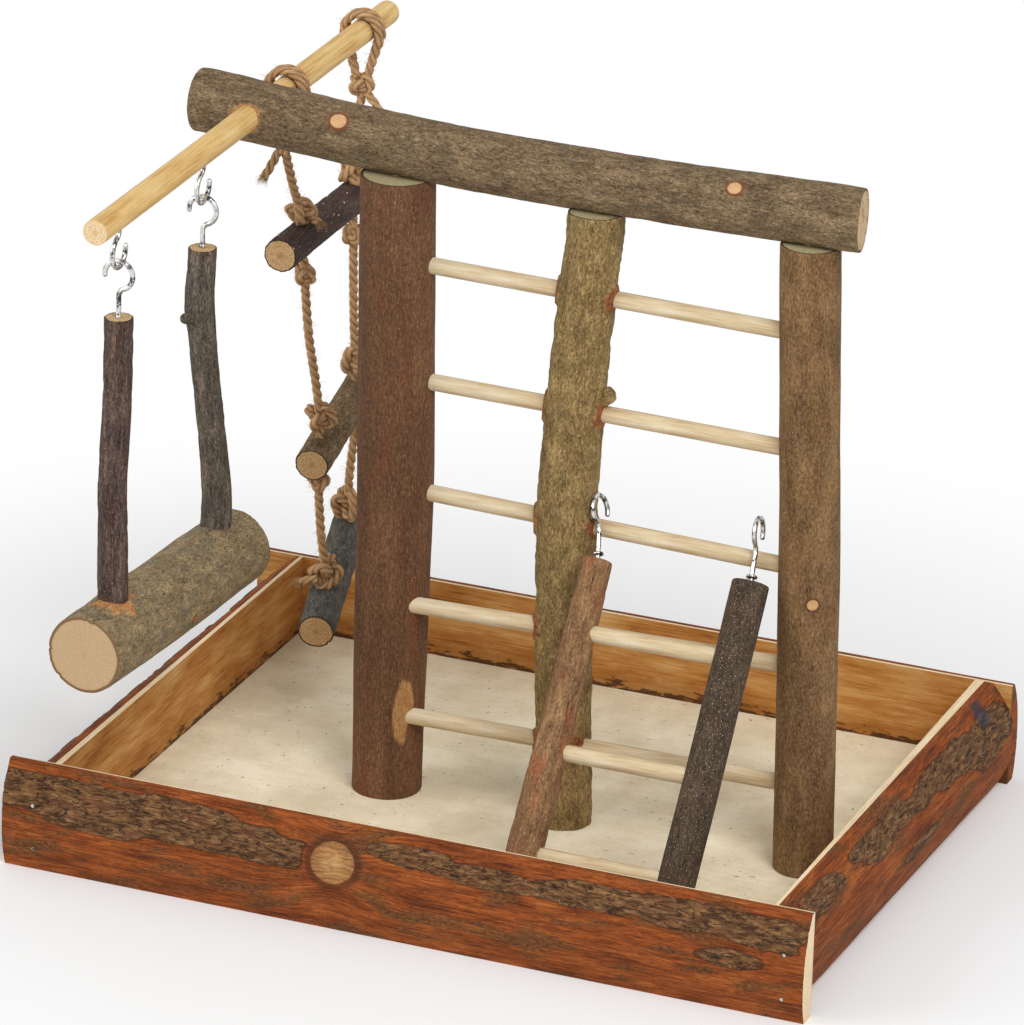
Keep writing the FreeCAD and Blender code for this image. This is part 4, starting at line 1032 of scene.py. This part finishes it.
def spline_points(control):
    """The line of a NURBS spline through a route's points, in millimetres."""
    data = bpy.data.curves.new("route", "CURVE")
    data.dimensions = "3D"
    data.resolution_u = 24
    spline = data.splines.new("NURBS")
    spline.points.add(len(control) - 1)
    for place, point in zip(spline.points, control):
        place.co = (*[value * MM for value in point], 1.0)
    spline.order_u = 3
    spline.use_endpoint_u = True
    thing = bpy.data.objects.new("route", data)
    bpy.context.scene.collection.objects.link(thing)
    mesh = bpy.data.meshes.new_from_object(thing)
    points = np.empty(len(mesh.vertices) * 3)
    mesh.vertices.foreach_get("co", points)
    bpy.data.objects.remove(thing)
    bpy.data.curves.remove(data)
    bpy.data.meshes.remove(mesh)
    return points.reshape(-1, 3) / MM


def joined(name, things):
    """Several meshes made into one object."""
    with bpy.context.temp_override(active_object=things[0], selected_editable_objects=things):
        bpy.ops.object.join()
    things[0].name = name
    return things[0]


HAIR_RADIUS = 0.10
HAIR_LEVELS = 5


def hairs(name, points, radius, count, length, seed, jute, spread=1.0, lean=0.0):
    """Loose fibres that stand out from a rope: thin three-sided threads, each bent its own way."""
    draw = np.random.default_rng(seed)
    across, up, line = frames_along(points)
    all_points = []
    faces = []
    for _ in range(count):
        row = draw.integers(1, len(points) - 1)
        angle = draw.uniform(0, 2 * math.pi)
        out = across[row] * math.cos(angle) + up[row] * math.sin(angle)
        go = out * spread + line[row] * (draw.uniform(-1, 1) + lean) + draw.normal(0, 0.35, 3)
        go /= np.linalg.norm(go)
        bend = draw.normal(0, 0.5, 3)
        reach = length * draw.uniform(0.4, 1.0)
        start = points[row] + out * radius * 0.75
        base = len(all_points)
        side, top, _ = axes_along(go)
        for level in range(HAIR_LEVELS):
            share = level / (HAIR_LEVELS - 1)
            middle = start + go * reach * share + bend * reach * 0.35 * share ** 2
            thick = HAIR_RADIUS * (1 - 0.75 * share)
            for corner in range(3):
                turn = corner * 2 * math.pi / 3
                all_points.append(middle + (side * math.cos(turn) + top * math.sin(turn)) * thick)
        for level in range(HAIR_LEVELS - 1):
            for corner in range(3):
                after = (corner + 1) % 3
                low_row = base + level * 3
                faces.append((low_row + corner, low_row + after, low_row + 3 + after, low_row + 3 + corner))
        faces.append((base + 2, base + 1, base))
        faces.append(tuple(base + (HAIR_LEVELS - 1) * 3 + corner for corner in range(3)))
    thing = new_object(name, np.array(all_points), faces, [jute])
    paint_vector(thing, "grain", np.array(all_points))
    # no painted groove shade on the loose fibres
    paint(thing, "strand_groove_shade", np.zeros(len(all_points)))
    return thing


LOBE_REACH = 2.75


def knot_line(centre, size, turn, tilt):
    """The line of an overhand knot drawn tight: a three-lobed loop round an upright rope."""
    width, height = size
    side, up, along = axes_along(UPRIGHT)
    spin = np.linspace(0, 2 * math.pi, 120)
    x = np.sin(spin) + 2 * np.sin(2 * spin)
    y = np.cos(spin) - 2 * np.cos(2 * spin)
    z = -np.sin(3 * spin)
    rope = ROPE / 2
    wide = (width / 2 - rope * 0.9) / LOBE_REACH
    tall = height / 2 - rope * 0.9
    flat = np.stack([x * wide, y * wide, z * tall * 0.75], axis=1)
    lean = np.array([
        [1, 0, 0],
        [0, math.cos(tilt), -math.sin(tilt)],
        [0, math.sin(tilt), math.cos(tilt)],
    ])
    roll = np.array([
        [math.cos(turn), -math.sin(turn), 0],
        [math.sin(turn), math.cos(turn), 0],
        [0, 0, 1],
    ])
    placed = flat @ lean.T @ roll.T
    stretch = tall / max(np.abs(placed[:, 2]).max(), 0.1)
    placed[:, 2] *= min(stretch, 1.6)
    return np.array(centre) + placed[:, :1] * side + placed[:, 1:2] * up + placed[:, 2:] * along


# ---------------------------------------------------------------- sizes shared with the CAD

DOWEL_ORIGIN = (-135.0, -12.5)
PERCH_YAW = 1.17
DOWEL_Z = 342.0
DOWEL_RADIUS = 6.0
LADDER_RUNGS = 5
RAMP_RUNGS = 3
SWING_ALONG = {"front": -159.1, "back": -64.5}
UPPER_DROP = 18.8
UPPER_RADIUS = 7.2
LOWER_HEIGHT = 26.9
LOWER_RADIUS = 6.8
WIRE_GAP = 0.5
BACK_SUNK = 2.0
LOOP_ALONG = {"front": 34.3, "back": 128.7}
LOOP_SLACK = 0.85
LOOP_KNOT_DROP = 26.6
RAMP_FOOT = (-121.9, 12.3)
RAMP_LEAN = 54.08
RAMP_LENGTH = 184.96
RAMP_AXIS = -8.8
RAMP_HOOK_HEIGHT = 31.4
COLLAR = 2.0
COLLAR_RISE = 3.2
COLLAR_WIRE = 0.8
COLLAR_STEPS = 24
RAMP_HOOKS = {"left": (48.03, 16.0, 15.0, 12.0), "right": (123.3, 14.0, 0.0, 5.0)}


def dowel_frame():
    return Matrix.Translation((*DOWEL_ORIGIN, 0)) @ Matrix.Rotation(math.radians(PERCH_YAW), 4, "Z")


def turned(yaw_degrees, tilt_degrees=0.0):
    """The direction of a limb that lies along Y, turned about Z and then lifted at its back end."""
    yaw, tilt = math.radians(yaw_degrees), math.radians(tilt_degrees)
    return (-math.sin(yaw) * math.cos(tilt), math.cos(yaw) * math.cos(tilt), math.sin(tilt))


# ---------------------------------------------------------------- pieces of the stand

def build_tray():
    """The tray: four half-log boards round a floor. Nails, screws and hidden pins get their finish here too."""
    paints = [split_bark_paint(), inner_face_paint(), sawn_paint()]
    board("bark_front", "front_board", 0, 1, -1, FRONT_PATCHES, 3, paints, pale=2, knot=(-31.3, 34.6, 9.8))
    board("bark_back", "back_board", 0, 1, 1, BACK_PATCHES, 7, paints, pale=3, tip=0)
    board("bark_left", "left_board", 1, 0, -1, LEFT_PATCHES, 13, paints)
    board("bark_right", "right_board", 1, 0, 1, RIGHT_PATCHES, 19, paints, stain=(112, 49, 13))
    use(NODES["floor_panel"], floor_paint())
    # the nails and screws get the zinc colour with its painted reflection bands
    metal = metal_paint("zinc_plate", "b9b9b6", 0.38)
    for name in ("corner_nails", "post_screws"):
        use(NODES[name], metal)
    use(NODES["log_pins"], sawn_paint())


def use(thing, material):
    """Give a CAD node this material."""
    for place in range(len(thing.material_slots)):
        thing.material_slots[place].material = material


FRONT_PATCHES = (
    (-172, 41, 40, 10), (-120, 40, 46, 11), (-72, 36, 34, 9), (-150, 30, 24, 5),
    (8, 43, 22, 6), (45, 41, 26, 5), (92, 42, 30, 6), (140, 43, 34, 7), (180, 41, 22, 8), (165, 27, 18, 5),
)
BACK_PATCHES = ((-150, 40, 60, 16), (-20, 36, 70, 14), (120, 42, 70, 12), (60, 18, 40, 7))
LEFT_PATCHES = ((-90, 40, 50, 11), (10, 40, 60, 12), (105, 36, 36, 12))
RIGHT_PATCHES = ((-110, 44, 34, 7), (-30, 43, 44, 8), (55, 42, 50, 9), (115, 38, 30, 14), (10, 22, 26, 4))


def crossings(post, size):
    """Torn bark where the ladder's rungs enter a post, on both of its sides."""
    line, (side, up, _) = limb_line(post, UPRIGHT, 36)
    marks = []
    for number in range(1, LADDER_RUNGS + 1):
        points = node_points(f"ladder_rung_{number}")
        left = points[points[:, 0] < points[:, 0].min() + 1].mean(axis=0)
        right = points[points[:, 0] > points[:, 0].max() - 1].mean(axis=0)
        for way in (-1, 1):
            x, height = 0.0, float(left[2])
            for _ in range(4):
                centre = [np.interp(height, line[:, 2], line[:, place]) for place in (0, 1, 3)]
                middle = centre[0] * side + centre[1] * up
                x = middle[0] + way * centre[2]
                share = (x - left[0]) / (right[0] - left[0])
                height = float(left[2] + (right[2] - left[2]) * share)
            marks.append(("bare", (x, float(left[1]) - 2, height), (size, size, size * 1.3), 1.3))
    return marks


def build_posts():
    """Three posts of branch and the log across their tops."""
    end = end_paint("post_end", "b9ac84", "8d8460", rim="4a3a2a")
    red = bark_paint(
        "left_post_bark", ("3e2a1c", "64442d", "886546"), "774029", fibre=(0.8, 0.8, 4), lump=(10, 10, 60),
        specks=0.70, cracks=0.0, depth=0.35, shares=(0.35, 0.25, 0.4), blotched=(0.52, 0.66))
    limb("post_left_bark", "left_post", UPRIGHT, STAND, "red_brown_branch", red, end, smooth_relief, 31, 120,
         marks=[("bare", (-49, -29, 58), (7, 9, 26), 0.5)])
    olive = bark_paint(
        "middle_post_bark", ("4e3d23", "8d7348", "c3a56d"), "91804f", fibre=(1.4, 1.4, 3), lump=(6, 6, 11),
        specks=0.69, cracks=0.25, depth=0.8, pits=0.5, torn=("5a301c", "8a5130", "b07a4c"))
    limb("post_middle_bark", "middle_post", UPRIGHT, STAND, "olive_branch", olive, end, rough_relief, 37, 110,
         marks=crossings("middle_post", 8.0))
    twig("post_middle_stub", (38, -15.5, 226), (46.5, -15.8, 232), 3.8, 4.4, STAND, "olive_branch",
         olive, olive, rough_relief, 41, 40, step=0.6)
    grey = bark_paint(
        "right_post_bark", ("412e1b", "745737", "9b7b54"), "855d38", fibre=(0.9, 0.9, 3), lump=(8, 8, 26),
        specks=0.69, cracks=0.12, depth=0.4, shares=(0.25, 0.3, 0.45))
    limb("post_right_bark", "right_post", UPRIGHT, STAND, "grey_brown_branch", grey, end,
         smooth_relief, 43, 110, marks=[("knot", (154, -29, 151), 5.5, 1.2)])
    bark = bark_paint(
        "top_log_bark", ("423124", "786348", "a48c6a"), "6b5e44", fibre=(1.4, 1.4, 3.5), lump=(7, 7, 16),
        specks=0.69, crack="2c2119", cracks=0.35, depth=0.6, scar="cfa67a", pits=0.75, ring="7d452b")
    log_end = end_paint("top_log_end", "ccb591", "ab8b62", heart="9c5e3a", rim="5a4630")
    marks = [
        ("knot", (-89, -27, 349), 8.2, 1.6),
        ("knot", (106, -26, 347), 7.0, 1.6),
        ("bare", (-134, -27, 343), (11.5, 8, 11.5), 0.6),
    ]
    limb("top_log_bark", "top_log", SIDEWAYS, STAND, "log_bark", bark, log_end, pitted_relief, 47, 120,
         extend=(5.0, 4.0), slant=(0.0, -0.16), marks=marks)


def build_dowels():
    """The turned dowels: the rungs of both ladders and the perch."""
    wood = dowel_paint("rung_wood", ("b49870", "cbb691", "dacbaf"), "a08055")
    golden = dowel_paint("perch_wood", ("b88c4b", "d2ad6d", "dec38d"), "a87b45")
    end = end_paint("dowel_end", "e6cfa6", "c9a678", rim="d8bd90")

    def dowel(name, node, direction, body, paint_used, seed, sides, step, slices):
        limb(name, node, direction, body, "dowel_wood", paint_used, end, turned_relief, seed, sides,
             step=step, slices=slices, soften=0)

    for number in range(1, LADDER_RUNGS + 1):
        node = f"ladder_rung_{number}"
        dowel(f"dowel_{node}", node, SIDEWAYS, STAND, wood, 50 + number, 40, 4.0, 12)
    dowel("dowel_perch", "perch_dowel", turned(PERCH_YAW), STAND, golden, 60, 56, 3.0, 14)
    for number in range(1, RAMP_RUNGS + 1):
        node = f"ramp_rung_{number}"
        dowel(f"dowel_{node}", node, SIDEWAYS, LEANING, wood, 60 + number, 40, 4.0, 8)


def build_swing(metal):
    """The swing: two sticks that hang by wire hooks from the perch and carry a log."""
    base = dowel_frame()
    half_turn = Matrix.Rotation(math.radians(-90), 4, "Z") @ Matrix.Rotation(math.pi, 4, "X")
    underside = DOWEL_Z - DOWEL_RADIUS
    pivot = underside - UPPER_DROP
    for end, sunk in (("front", 0.0), ("back", BACK_SUNK)):
        along = SWING_ALONG[end]
        place = base @ Matrix.Translation((0, along, underside)) @ half_turn
        hook(f"wire_upper_{end}", f"swing_upper_hook_{end}", STAND, UPPER_DROP, UPPER_RADIUS, place, metal,
             thread=True)
        height = LOWER_HEIGHT - sunk
        place = base @ Matrix.Translation((0, along, pivot + WIRE + WIRE_GAP - height))
        hook(f"wire_lower_{end}", f"swing_lower_hook_{end}", SWING, height, LOWER_RADIUS, place, metal,
             thread=True)
    end = end_paint("stick_end", "c8ab80", "9c7a52", rim="2a1d18")
    purple = bark_paint(
        "front_stick_bark", ("261a19", "54423b", "836e60"), "56231d", fibre=(0.9, 0.9, 7), lump=(4, 4, 22),
        specks=0.69, crack="150e0e", cracks=0.35, depth=0.6, blotched=(0.54, 0.64), pits=0.4)
    limb("stick_front_bark", "swing_stick_front", UPRIGHT, SWING, "dark_branch", purple, end,
         fibrous_relief, 67, 72, step=0.9)
    brown = bark_paint(
        "back_stick_bark", ("29241e", "594f43", "917f70"), "67655d", fibre=(0.8, 0.8, 9), lump=(4, 4, 18),
        specks=0.69, cracks=0.4, depth=0.6, pits=0.3)
    limb("stick_back_bark", "swing_stick_back", UPRIGHT, SWING, "grey_brown_branch", brown, end,
         fibrous_relief, 71, 72, step=0.9)
    twig("stick_back_stub", base @ Vector((0, -68, 262)), base @ Vector((-2.5, -80, 265)), 3.6, 2.4, SWING,
         "grey_brown_branch", brown, brown, rough_relief, 72, 32, step=0.6)
    log = bark_paint(
        "swing_log_bark", ("473c2b", "867353", "af9872"), "6f6d64", fibre=(1.6, 1.6, 3), lump=(6, 6, 10),
        specks=0.69, cracks=0.1, depth=0.5, scar="a0603a", blotched=(0.50, 0.64), pits=0.85, crack="29241c",
        torn=("8a5a36", "b07a4a", "cf9f6c"))
    log_end = end_paint("swing_log_end", "bda27d", "ae906a", rim="7a5a3c")
    bark_points = node_points("swing_log")
    foot = base @ Vector((0, SWING_ALONG["front"], 0))
    top = bark_points[np.abs(bark_points[:, 1] - foot[1]) < 30][:, 2].max()
    marks = [("knot", (-115, -124, 131), 4, 0.9), ("bare", (foot[0], foot[1], top), 13.5, 1.3)]
    limb("swing_log_bark", "swing_log", turned(PERCH_YAW - 4.4), SWING, "grey_green_bark", log, log_end,
         pitted_relief, 73, 120, bevel=1.0, marks=marks)


def build_leaning_ladder(metal):
    """The leaning ladder: its two sticks, and the hooks that hold it to the stand's ladder."""
    base = Matrix.Translation((0, *RAMP_FOOT)) @ Matrix.Rotation(math.radians(RAMP_LEAN - 90), 4, "X")
    for side, (x, reach, twist, aside) in RAMP_HOOKS.items():
        foot = base @ Matrix.Translation((x, RAMP_AXIS, RAMP_LENGTH - reach))
        foot = foot @ Matrix.Rotation(math.radians(-aside), 4, "Y")
        place = foot @ Matrix.Rotation(math.radians(-90 - twist), 4, "Z")
        hook(f"wire_ramp_{side}", f"ramp_hook_{side}", LEANING, RAMP_HOOK_HEIGHT, LOWER_RADIUS, place, metal)
        circle = np.array([
            foot @ Vector((COLLAR * math.cos(turn), COLLAR * math.sin(turn), COLLAR_RISE))
            for turn in np.arange(COLLAR_STEPS) * 2 * math.pi / COLLAR_STEPS
        ])
        reach = np.full((COLLAR_STEPS, 1), COLLAR_WIRE)
        ring = tube_mesh(f"collar_ramp_{side}", circle, reach, 10, metal, closed=True)
        settle(ring, LEANING, "zinc_wire")
    end = end_paint("ramp_end", "a5845c", "7d6144", rim="3a2a22")
    lean = (0, math.cos(math.radians(RAMP_LEAN)), math.sin(math.radians(RAMP_LEAN)))
    red = bark_paint(
        "ramp_left_bark", ("483220", "866242", "b28e65"), "a95a39", fibre=(0.9, 0.9, 7), lump=(4, 4, 16),
        speck="cdb9a0", specks=0.67, cracks=0.2, depth=0.5, blotched=(0.54, 0.62))
    limb("ramp_left_bark", "ramp_stick_left", lean, LEANING, "red_brown_branch", red, end,
         fissured_relief, 79, 80, step=0.9)
    dark = bark_paint(
        "ramp_right_bark", ("221a14", "47392c", "6b5844"), "4f3629", fibre=(0.9, 0.9, 4), lump=(5, 5, 14),
        speck="b9ab96", specks=0.64, crack="15110f", cracks=0.2, depth=0.4)
    limb("ramp_right_bark", "ramp_stick_right", lean, LEANING, "dark_branch", dark, end,
         smooth_relief, 83, 88, step=0.9)


# ---------------------------------------------------------------- the rope ladder

ROUTES = {
    "top_front": ((-135.70, 21.79, 309.4), (-135.05, 29.06, 290.9), (-136.10, 41.29, 274.4),
                  (-136.25, 48.54, 234.64)),
    "top_back": ((-137.63, 116.17, 309.4), (-138.35, 112.26, 291.9), (-137.40, 105.18, 274.4),
                 (-137.49, 109.39, 234.58)),
    "middle_front": ((-136.25, 48.54, 232.04), (-135.23, 50.11, 208.72), (-133.28, 55.29, 185.39),
                     (-132.20, 59.64, 163.44), (-132.20, 59.64, 124.59)),
    "middle_back": ((-137.49, 109.39, 231.98), (-138.15, 111.86, 210.94), (-139.66, 116.92, 189.9),
                    (-140.40, 121.35, 170.09), (-140.40, 121.35, 131.24)),
    "bottom_front": ((-132.20, 59.64, 121.99), (-131.46, 60.52, 102.76), (-131.11, 67.35, 79.25),
                     (-131.11, 67.35, 56.25)),
    "bottom_back": ((-140.40, 121.35, 128.64), (-142.99, 122.76, 111.5), (-145.77, 127.15, 90.55),
                    (-145.77, 127.15, 67.55)),
}
SMALL_KNOT = (10.5, 11.7)
TOP_KNOT = (13.5, 15.7)
MIDDLE_KNOT = (15.0, 16.0)
BOTTOM_KNOT = (15.0, 19.0)
LOOP_KNOT = (13.6, 12.0)
KNOTS = {
    "top_front": (((-136.10, 41.29, 274.4), TOP_KNOT), ((-136.23, 47.49, 240.4), SMALL_KNOT)),
    "top_back": (((-137.40, 105.18, 274.4), TOP_KNOT), ((-137.48, 108.77, 240.4), SMALL_KNOT)),
    "middle_front": (((-132.20, 59.64, 163.44), MIDDLE_KNOT), ((-132.20, 59.64, 130.44), SMALL_KNOT)),
    "middle_back": (((-140.40, 121.35, 170.09), MIDDLE_KNOT), ((-140.40, 121.35, 137.09), SMALL_KNOT)),
    "bottom_front": (((-131.11, 67.35, 79.25), BOTTOM_KNOT),),
    "bottom_back": (((-145.77, 127.15, 90.55), BOTTOM_KNOT),),
}
KNOT_TILT = 0.55
SLEEVE_LENGTH = 4.0
LOOP_SPREAD = 2.2
LOOP_TAILS = {
    "front": ((-137.5, 20, 313), (-143.5, 15, 299)),
    "back": ((-136, 116, 312), (-126, 113, 303)),
}
ROPE_BODIES = {"top": TOP, "middle": MIDDLE, "bottom": BOTTOM}


def rope_knot(name, centre, size, jute, seed):
    line = knot_line(centre, size, seed * 1.3, KNOT_TILT + 0.2 * math.sin(seed))
    return rope_surface(name, line, ROPE * 0.53, jute, seed, closed=True)[0]


def rope_tail(name, start, end, jute, seed):
    """A short free end of rope: its strands, and a brush of loose fibres where it is cut."""
    start, end = np.array(start, float), np.array(end, float)
    middle = (start + end) / 2 + np.array([0.6, 0, 0.8])
    line = np.array([
        (1 - share) ** 2 * start + 2 * share * (1 - share) * middle + share ** 2 * end
        for share in np.linspace(0, 1, 12)
    ])
    strand, points = rope_surface(name, line, ROPE * 0.48, jute, seed)
    brush = hairs(f"{name}_brush", points[-4:], ROPE * 0.42, 110, 5.5, seed + 1, jute, spread=0.25, lean=2.4)
    return [strand, brush]


def sleeve(name, points, jute, seed):
    """A short length of rope that carries a cut rope on up into the knot it hangs from."""
    start = points[0]
    go = points[6] - points[0]
    go /= np.linalg.norm(go)
    line = np.array([start - go * SLEEVE_LENGTH, start - go * SLEEVE_LENGTH / 2, start, start + go * 1.2])
    return rope_surface(name, line, ROPE / 2, jute, seed)[0]


def rope_loop(end, jute):
    """The loop over the perch: up one side from its knot, over the top and down the other side."""
    base = dowel_frame()
    ring = DOWEL_RADIUS + LOOP_SLACK + ROPE / 2
    foot = DOWEL_Z - LOOP_KNOT_DROP + LOOP_KNOT[1] / 4
    half_gap = ROPE / 2 + 0.25
    drop = DOWEL_Z - foot
    reach = math.hypot(half_gap, drop)
    angle = 2 * math.pi + math.atan2(-drop, -half_gap) - math.acos(ring / reach)
    flat = [(-half_gap, foot)]
    for step in range(41):
        turn = angle - (2 * angle - math.pi) * step / 40
        flat.append((ring * math.cos(turn), DOWEL_Z + ring * math.sin(turn)))
    flat.append((half_gap, foot))
    along = LOOP_ALONG[end]
    pieces = []
    for turn, aside in enumerate((-LOOP_SPREAD, LOOP_SPREAD)):
        world = [base @ Vector((x, along + aside * min(1.0, (z - foot) / 12), z)) for x, z in flat]
        strand, points = rope_surface(f"loop_strand_{end}_{turn}", world, ROPE * 0.46, jute, 101 + turn)
        pieces += [strand, hairs(f"loop_fuzz_{end}_{turn}", points, ROPE / 2, 90, 4.0, 109 + turn, jute)]
    centre = base @ Vector((0, along, DOWEL_Z - LOOP_KNOT_DROP))
    tied = rope_knot(f"loop_knot_{end}", centre, LOOP_KNOT, jute, 103 if end == "front" else 107)
    core = np.array([centre + Vector((0, 0, rise)) for rise in np.linspace(-3, 3, 9)])
    pieces += [tied, hairs(f"loop_knot_fuzz_{end}", core, 6.0, 60, 4.0, 113, jute)]
    pieces += rope_tail(f"loop_tail_{end}", *LOOP_TAILS[end], jute, 115)
    whole = joined(f"rope_loop_tied_{end}", pieces)
    settle(whole, TOP, "jute_rope", f"rope_loop_{end}")


def build_rope_ladder(jute):
    """Six lengths of rope with their knots, the two loops over the perch, and three rungs of branch."""
    knots = {"top": [], "middle": [], "bottom": []}
    cords = {}
    for number, (name, route) in enumerate(ROUTES.items()):
        tag = name.split("_")[0]
        line = spline_points(route)
        strand, points = rope_surface(f"rope_{name}_strands", line, ROPE / 2, jute, 120 + number)
        settle(strand, ROPE_BODIES[tag], "jute_rope", f"rope_{name}")
        fuzz = hairs(f"rope_{name}_fuzz", points, ROPE / 2, 150, 3.6, 130 + number, jute)
        fuzz = joined(f"rope_{name}_fuzz", [fuzz, sleeve(f"rope_{name}_sleeve", points, jute, 170 + number)])
        settle(fuzz, ROPE_BODIES[tag], "jute_rope")
        cords[name] = (strand, points, fuzz)
        for place, (centre, size) in enumerate(KNOTS[name]):
            seed = 140 + number * 3 + place
            tied = rope_knot(f"knot_{name}_{place + 1}", centre, size, jute, seed)
            ball = even_points(knot_line(centre, size, seed * 1.3, KNOT_TILT), 1.0)[0]
            loose = hairs(f"knot_{name}_{place + 1}_fuzz", ball, ROPE / 2, 130, 3.8, seed + 60, jute)
            knots[tag] += [tied, loose]
    knots["bottom"] += rope_tail("knot_tail_bottom", (-133, 63, 77), (-142, 62, 74), jute, 181)
    knots["top"] += rope_tail("knot_tail_top", (-134, 43, 272), (-126, 40, 270), jute, 183)
    whole = {}
    for tag, pieces in knots.items():
        whole[tag] = joined(f"knots_{tag}_tied", pieces)
        settle(whole[tag], ROPE_BODIES[tag], "jute_rope", f"knots_{tag}_rung")
    for name, (strand, points, fuzz) in cords.items():
        tag = name.split("_")[0]
    for end in ("front", "back"):
        rope_loop(end, jute)
    end = end_paint("rope_rung_end", "c4a274", "97744a", rim="2d211c")
    dark = bark_paint(
        "rope_rung_top_bark", ("261d1a", "46352f", "6d5a4f"), "56352c", fibre=(1.0, 1.0, 8), lump=(4, 4, 14),
        specks=0.70, cracks=0.3, depth=0.5, dots="e4ddd6")
    grey = bark_paint(
        "rope_rung_middle_bark", ("3e311f", "796143", "a58c67"), "76674f", fibre=(1.2, 1.2, 5),
        lump=(5, 5, 14), specks=0.70, cracks=0.5, depth=0.6)
    green = bark_paint(
        "rope_rung_bottom_bark", ("2d2b24", "54514a", "7b776b"), "565a52", fibre=(1.4, 1.4, 5),
        lump=(5, 5, 10), specks=0.70, cracks=0.3, depth=0.5, pits=0.4)
    for tag, slot, bark, relief, yaw, tilt, seed in (
        ("top", "dark_branch", dark, fibrous_relief, PERCH_YAW, 0.0, 211),
        ("middle", "grey_brown_branch", grey, fissured_relief, PERCH_YAW + 6.4, 6.1, 223),
        ("bottom", "grey_green_bark", green, pitted_relief, PERCH_YAW + 12.6, 10.4, 227),
    ):
        limb(f"rope_rung_{tag}_bark", f"rope_rung_{tag}", turned(yaw, tilt), ROPE_BODIES[tag], slot,
             bark, end, relief, seed, 84, step=0.9)


# ---------------------------------------------------------------- floor, backdrop and light

def build_stage():
    """The white floor, which fades into the white backdrop away from the part, and the two lamps."""
    corners = [(x * FLOOR_SIZE, y * FLOOR_SIZE, 0) for x, y in ((-1, -1), (1, -1), (1, 1), (-1, 1))]
    mesh = bpy.data.meshes.new("floor")
    mesh.from_pydata(corners, [], [(0, 1, 2, 3)])
    floor = bpy.data.objects.new("floor", mesh)
    bpy.context.scene.collection.objects.link(floor)
    job = Paint("floor_stage", 0.9, 0.0)
    job.shader.inputs["Base Color"].default_value = (FLOOR_GREY, FLOOR_GREY, FLOOR_GREY, 1)
    glow = job.add("ShaderNodeEmission")
    glow.inputs["Color"].default_value = (1, 1, 1, 1)
    away = job.add("ShaderNodeVectorMath", operation="LENGTH")
    job.feed(away.inputs[0], job.place())
    far = job.band(away.outputs["Value"], *FLOOR_FADE)
    seen = job.part(far, job.add("ShaderNodeLightPath").outputs["Is Camera Ray"])
    blend = job.add("ShaderNodeMixShader")
    job.feed(blend.inputs[0], seen)
    job.feed(blend.inputs[1], job.shader.outputs[0])
    job.feed(blend.inputs[2], glow.outputs[0])
    output = job.tree.nodes["Material Output"]
    job.feed(output.inputs["Surface"], blend.outputs[0])
    mesh.materials.append(job.material)
    area_light("key", (1.5, -1.5, 2.3), (0, 0, 0.15), 1.5, KEY_POWER)
    area_light("fill", (-2.0, -1.6, 1.3), (0, 0, 0.15), 1.8, FILL_POWER)


def build_world():
    """A white room: full strength where the camera or a mirror sees it, AMBIENT as a light."""
    world = bpy.data.worlds.new("studio")
    bpy.context.scene.world = world
    world.use_nodes = True
    tree = world.node_tree
    background = tree.nodes["Background"]
    path = tree.nodes.new("ShaderNodeLightPath")
    seen = tree.nodes.new("ShaderNodeMath")
    seen.operation = "MAXIMUM"
    tree.links.new(path.outputs["Is Camera Ray"], seen.inputs[0])
    tree.links.new(path.outputs["Is Glossy Ray"], seen.inputs[1])
    strength = tree.nodes.new("ShaderNodeMapRange")
    tree.links.new(seen.outputs[0], strength.inputs["Value"])
    strength.inputs["To Min"].default_value = AMBIENT
    strength.inputs["To Max"].default_value = 1.0
    tree.links.new(strength.outputs["Result"], background.inputs["Strength"])
    background.inputs["Color"].default_value = (1, 1, 1, 1)


bpy.context.scene.view_settings.view_transform = "Standard"
place_camera()
build_world()
build_stage()
jute = jute_paint()
# wire zinc, with painted reflection bands in its colour
zinc = metal_paint("zinc_wire", "cfcfcc", 0.22)
build_rope_ladder(jute)
build_tray()
build_posts()
build_dowels()
build_swing(zinc)
build_leaning_ladder(zinc)
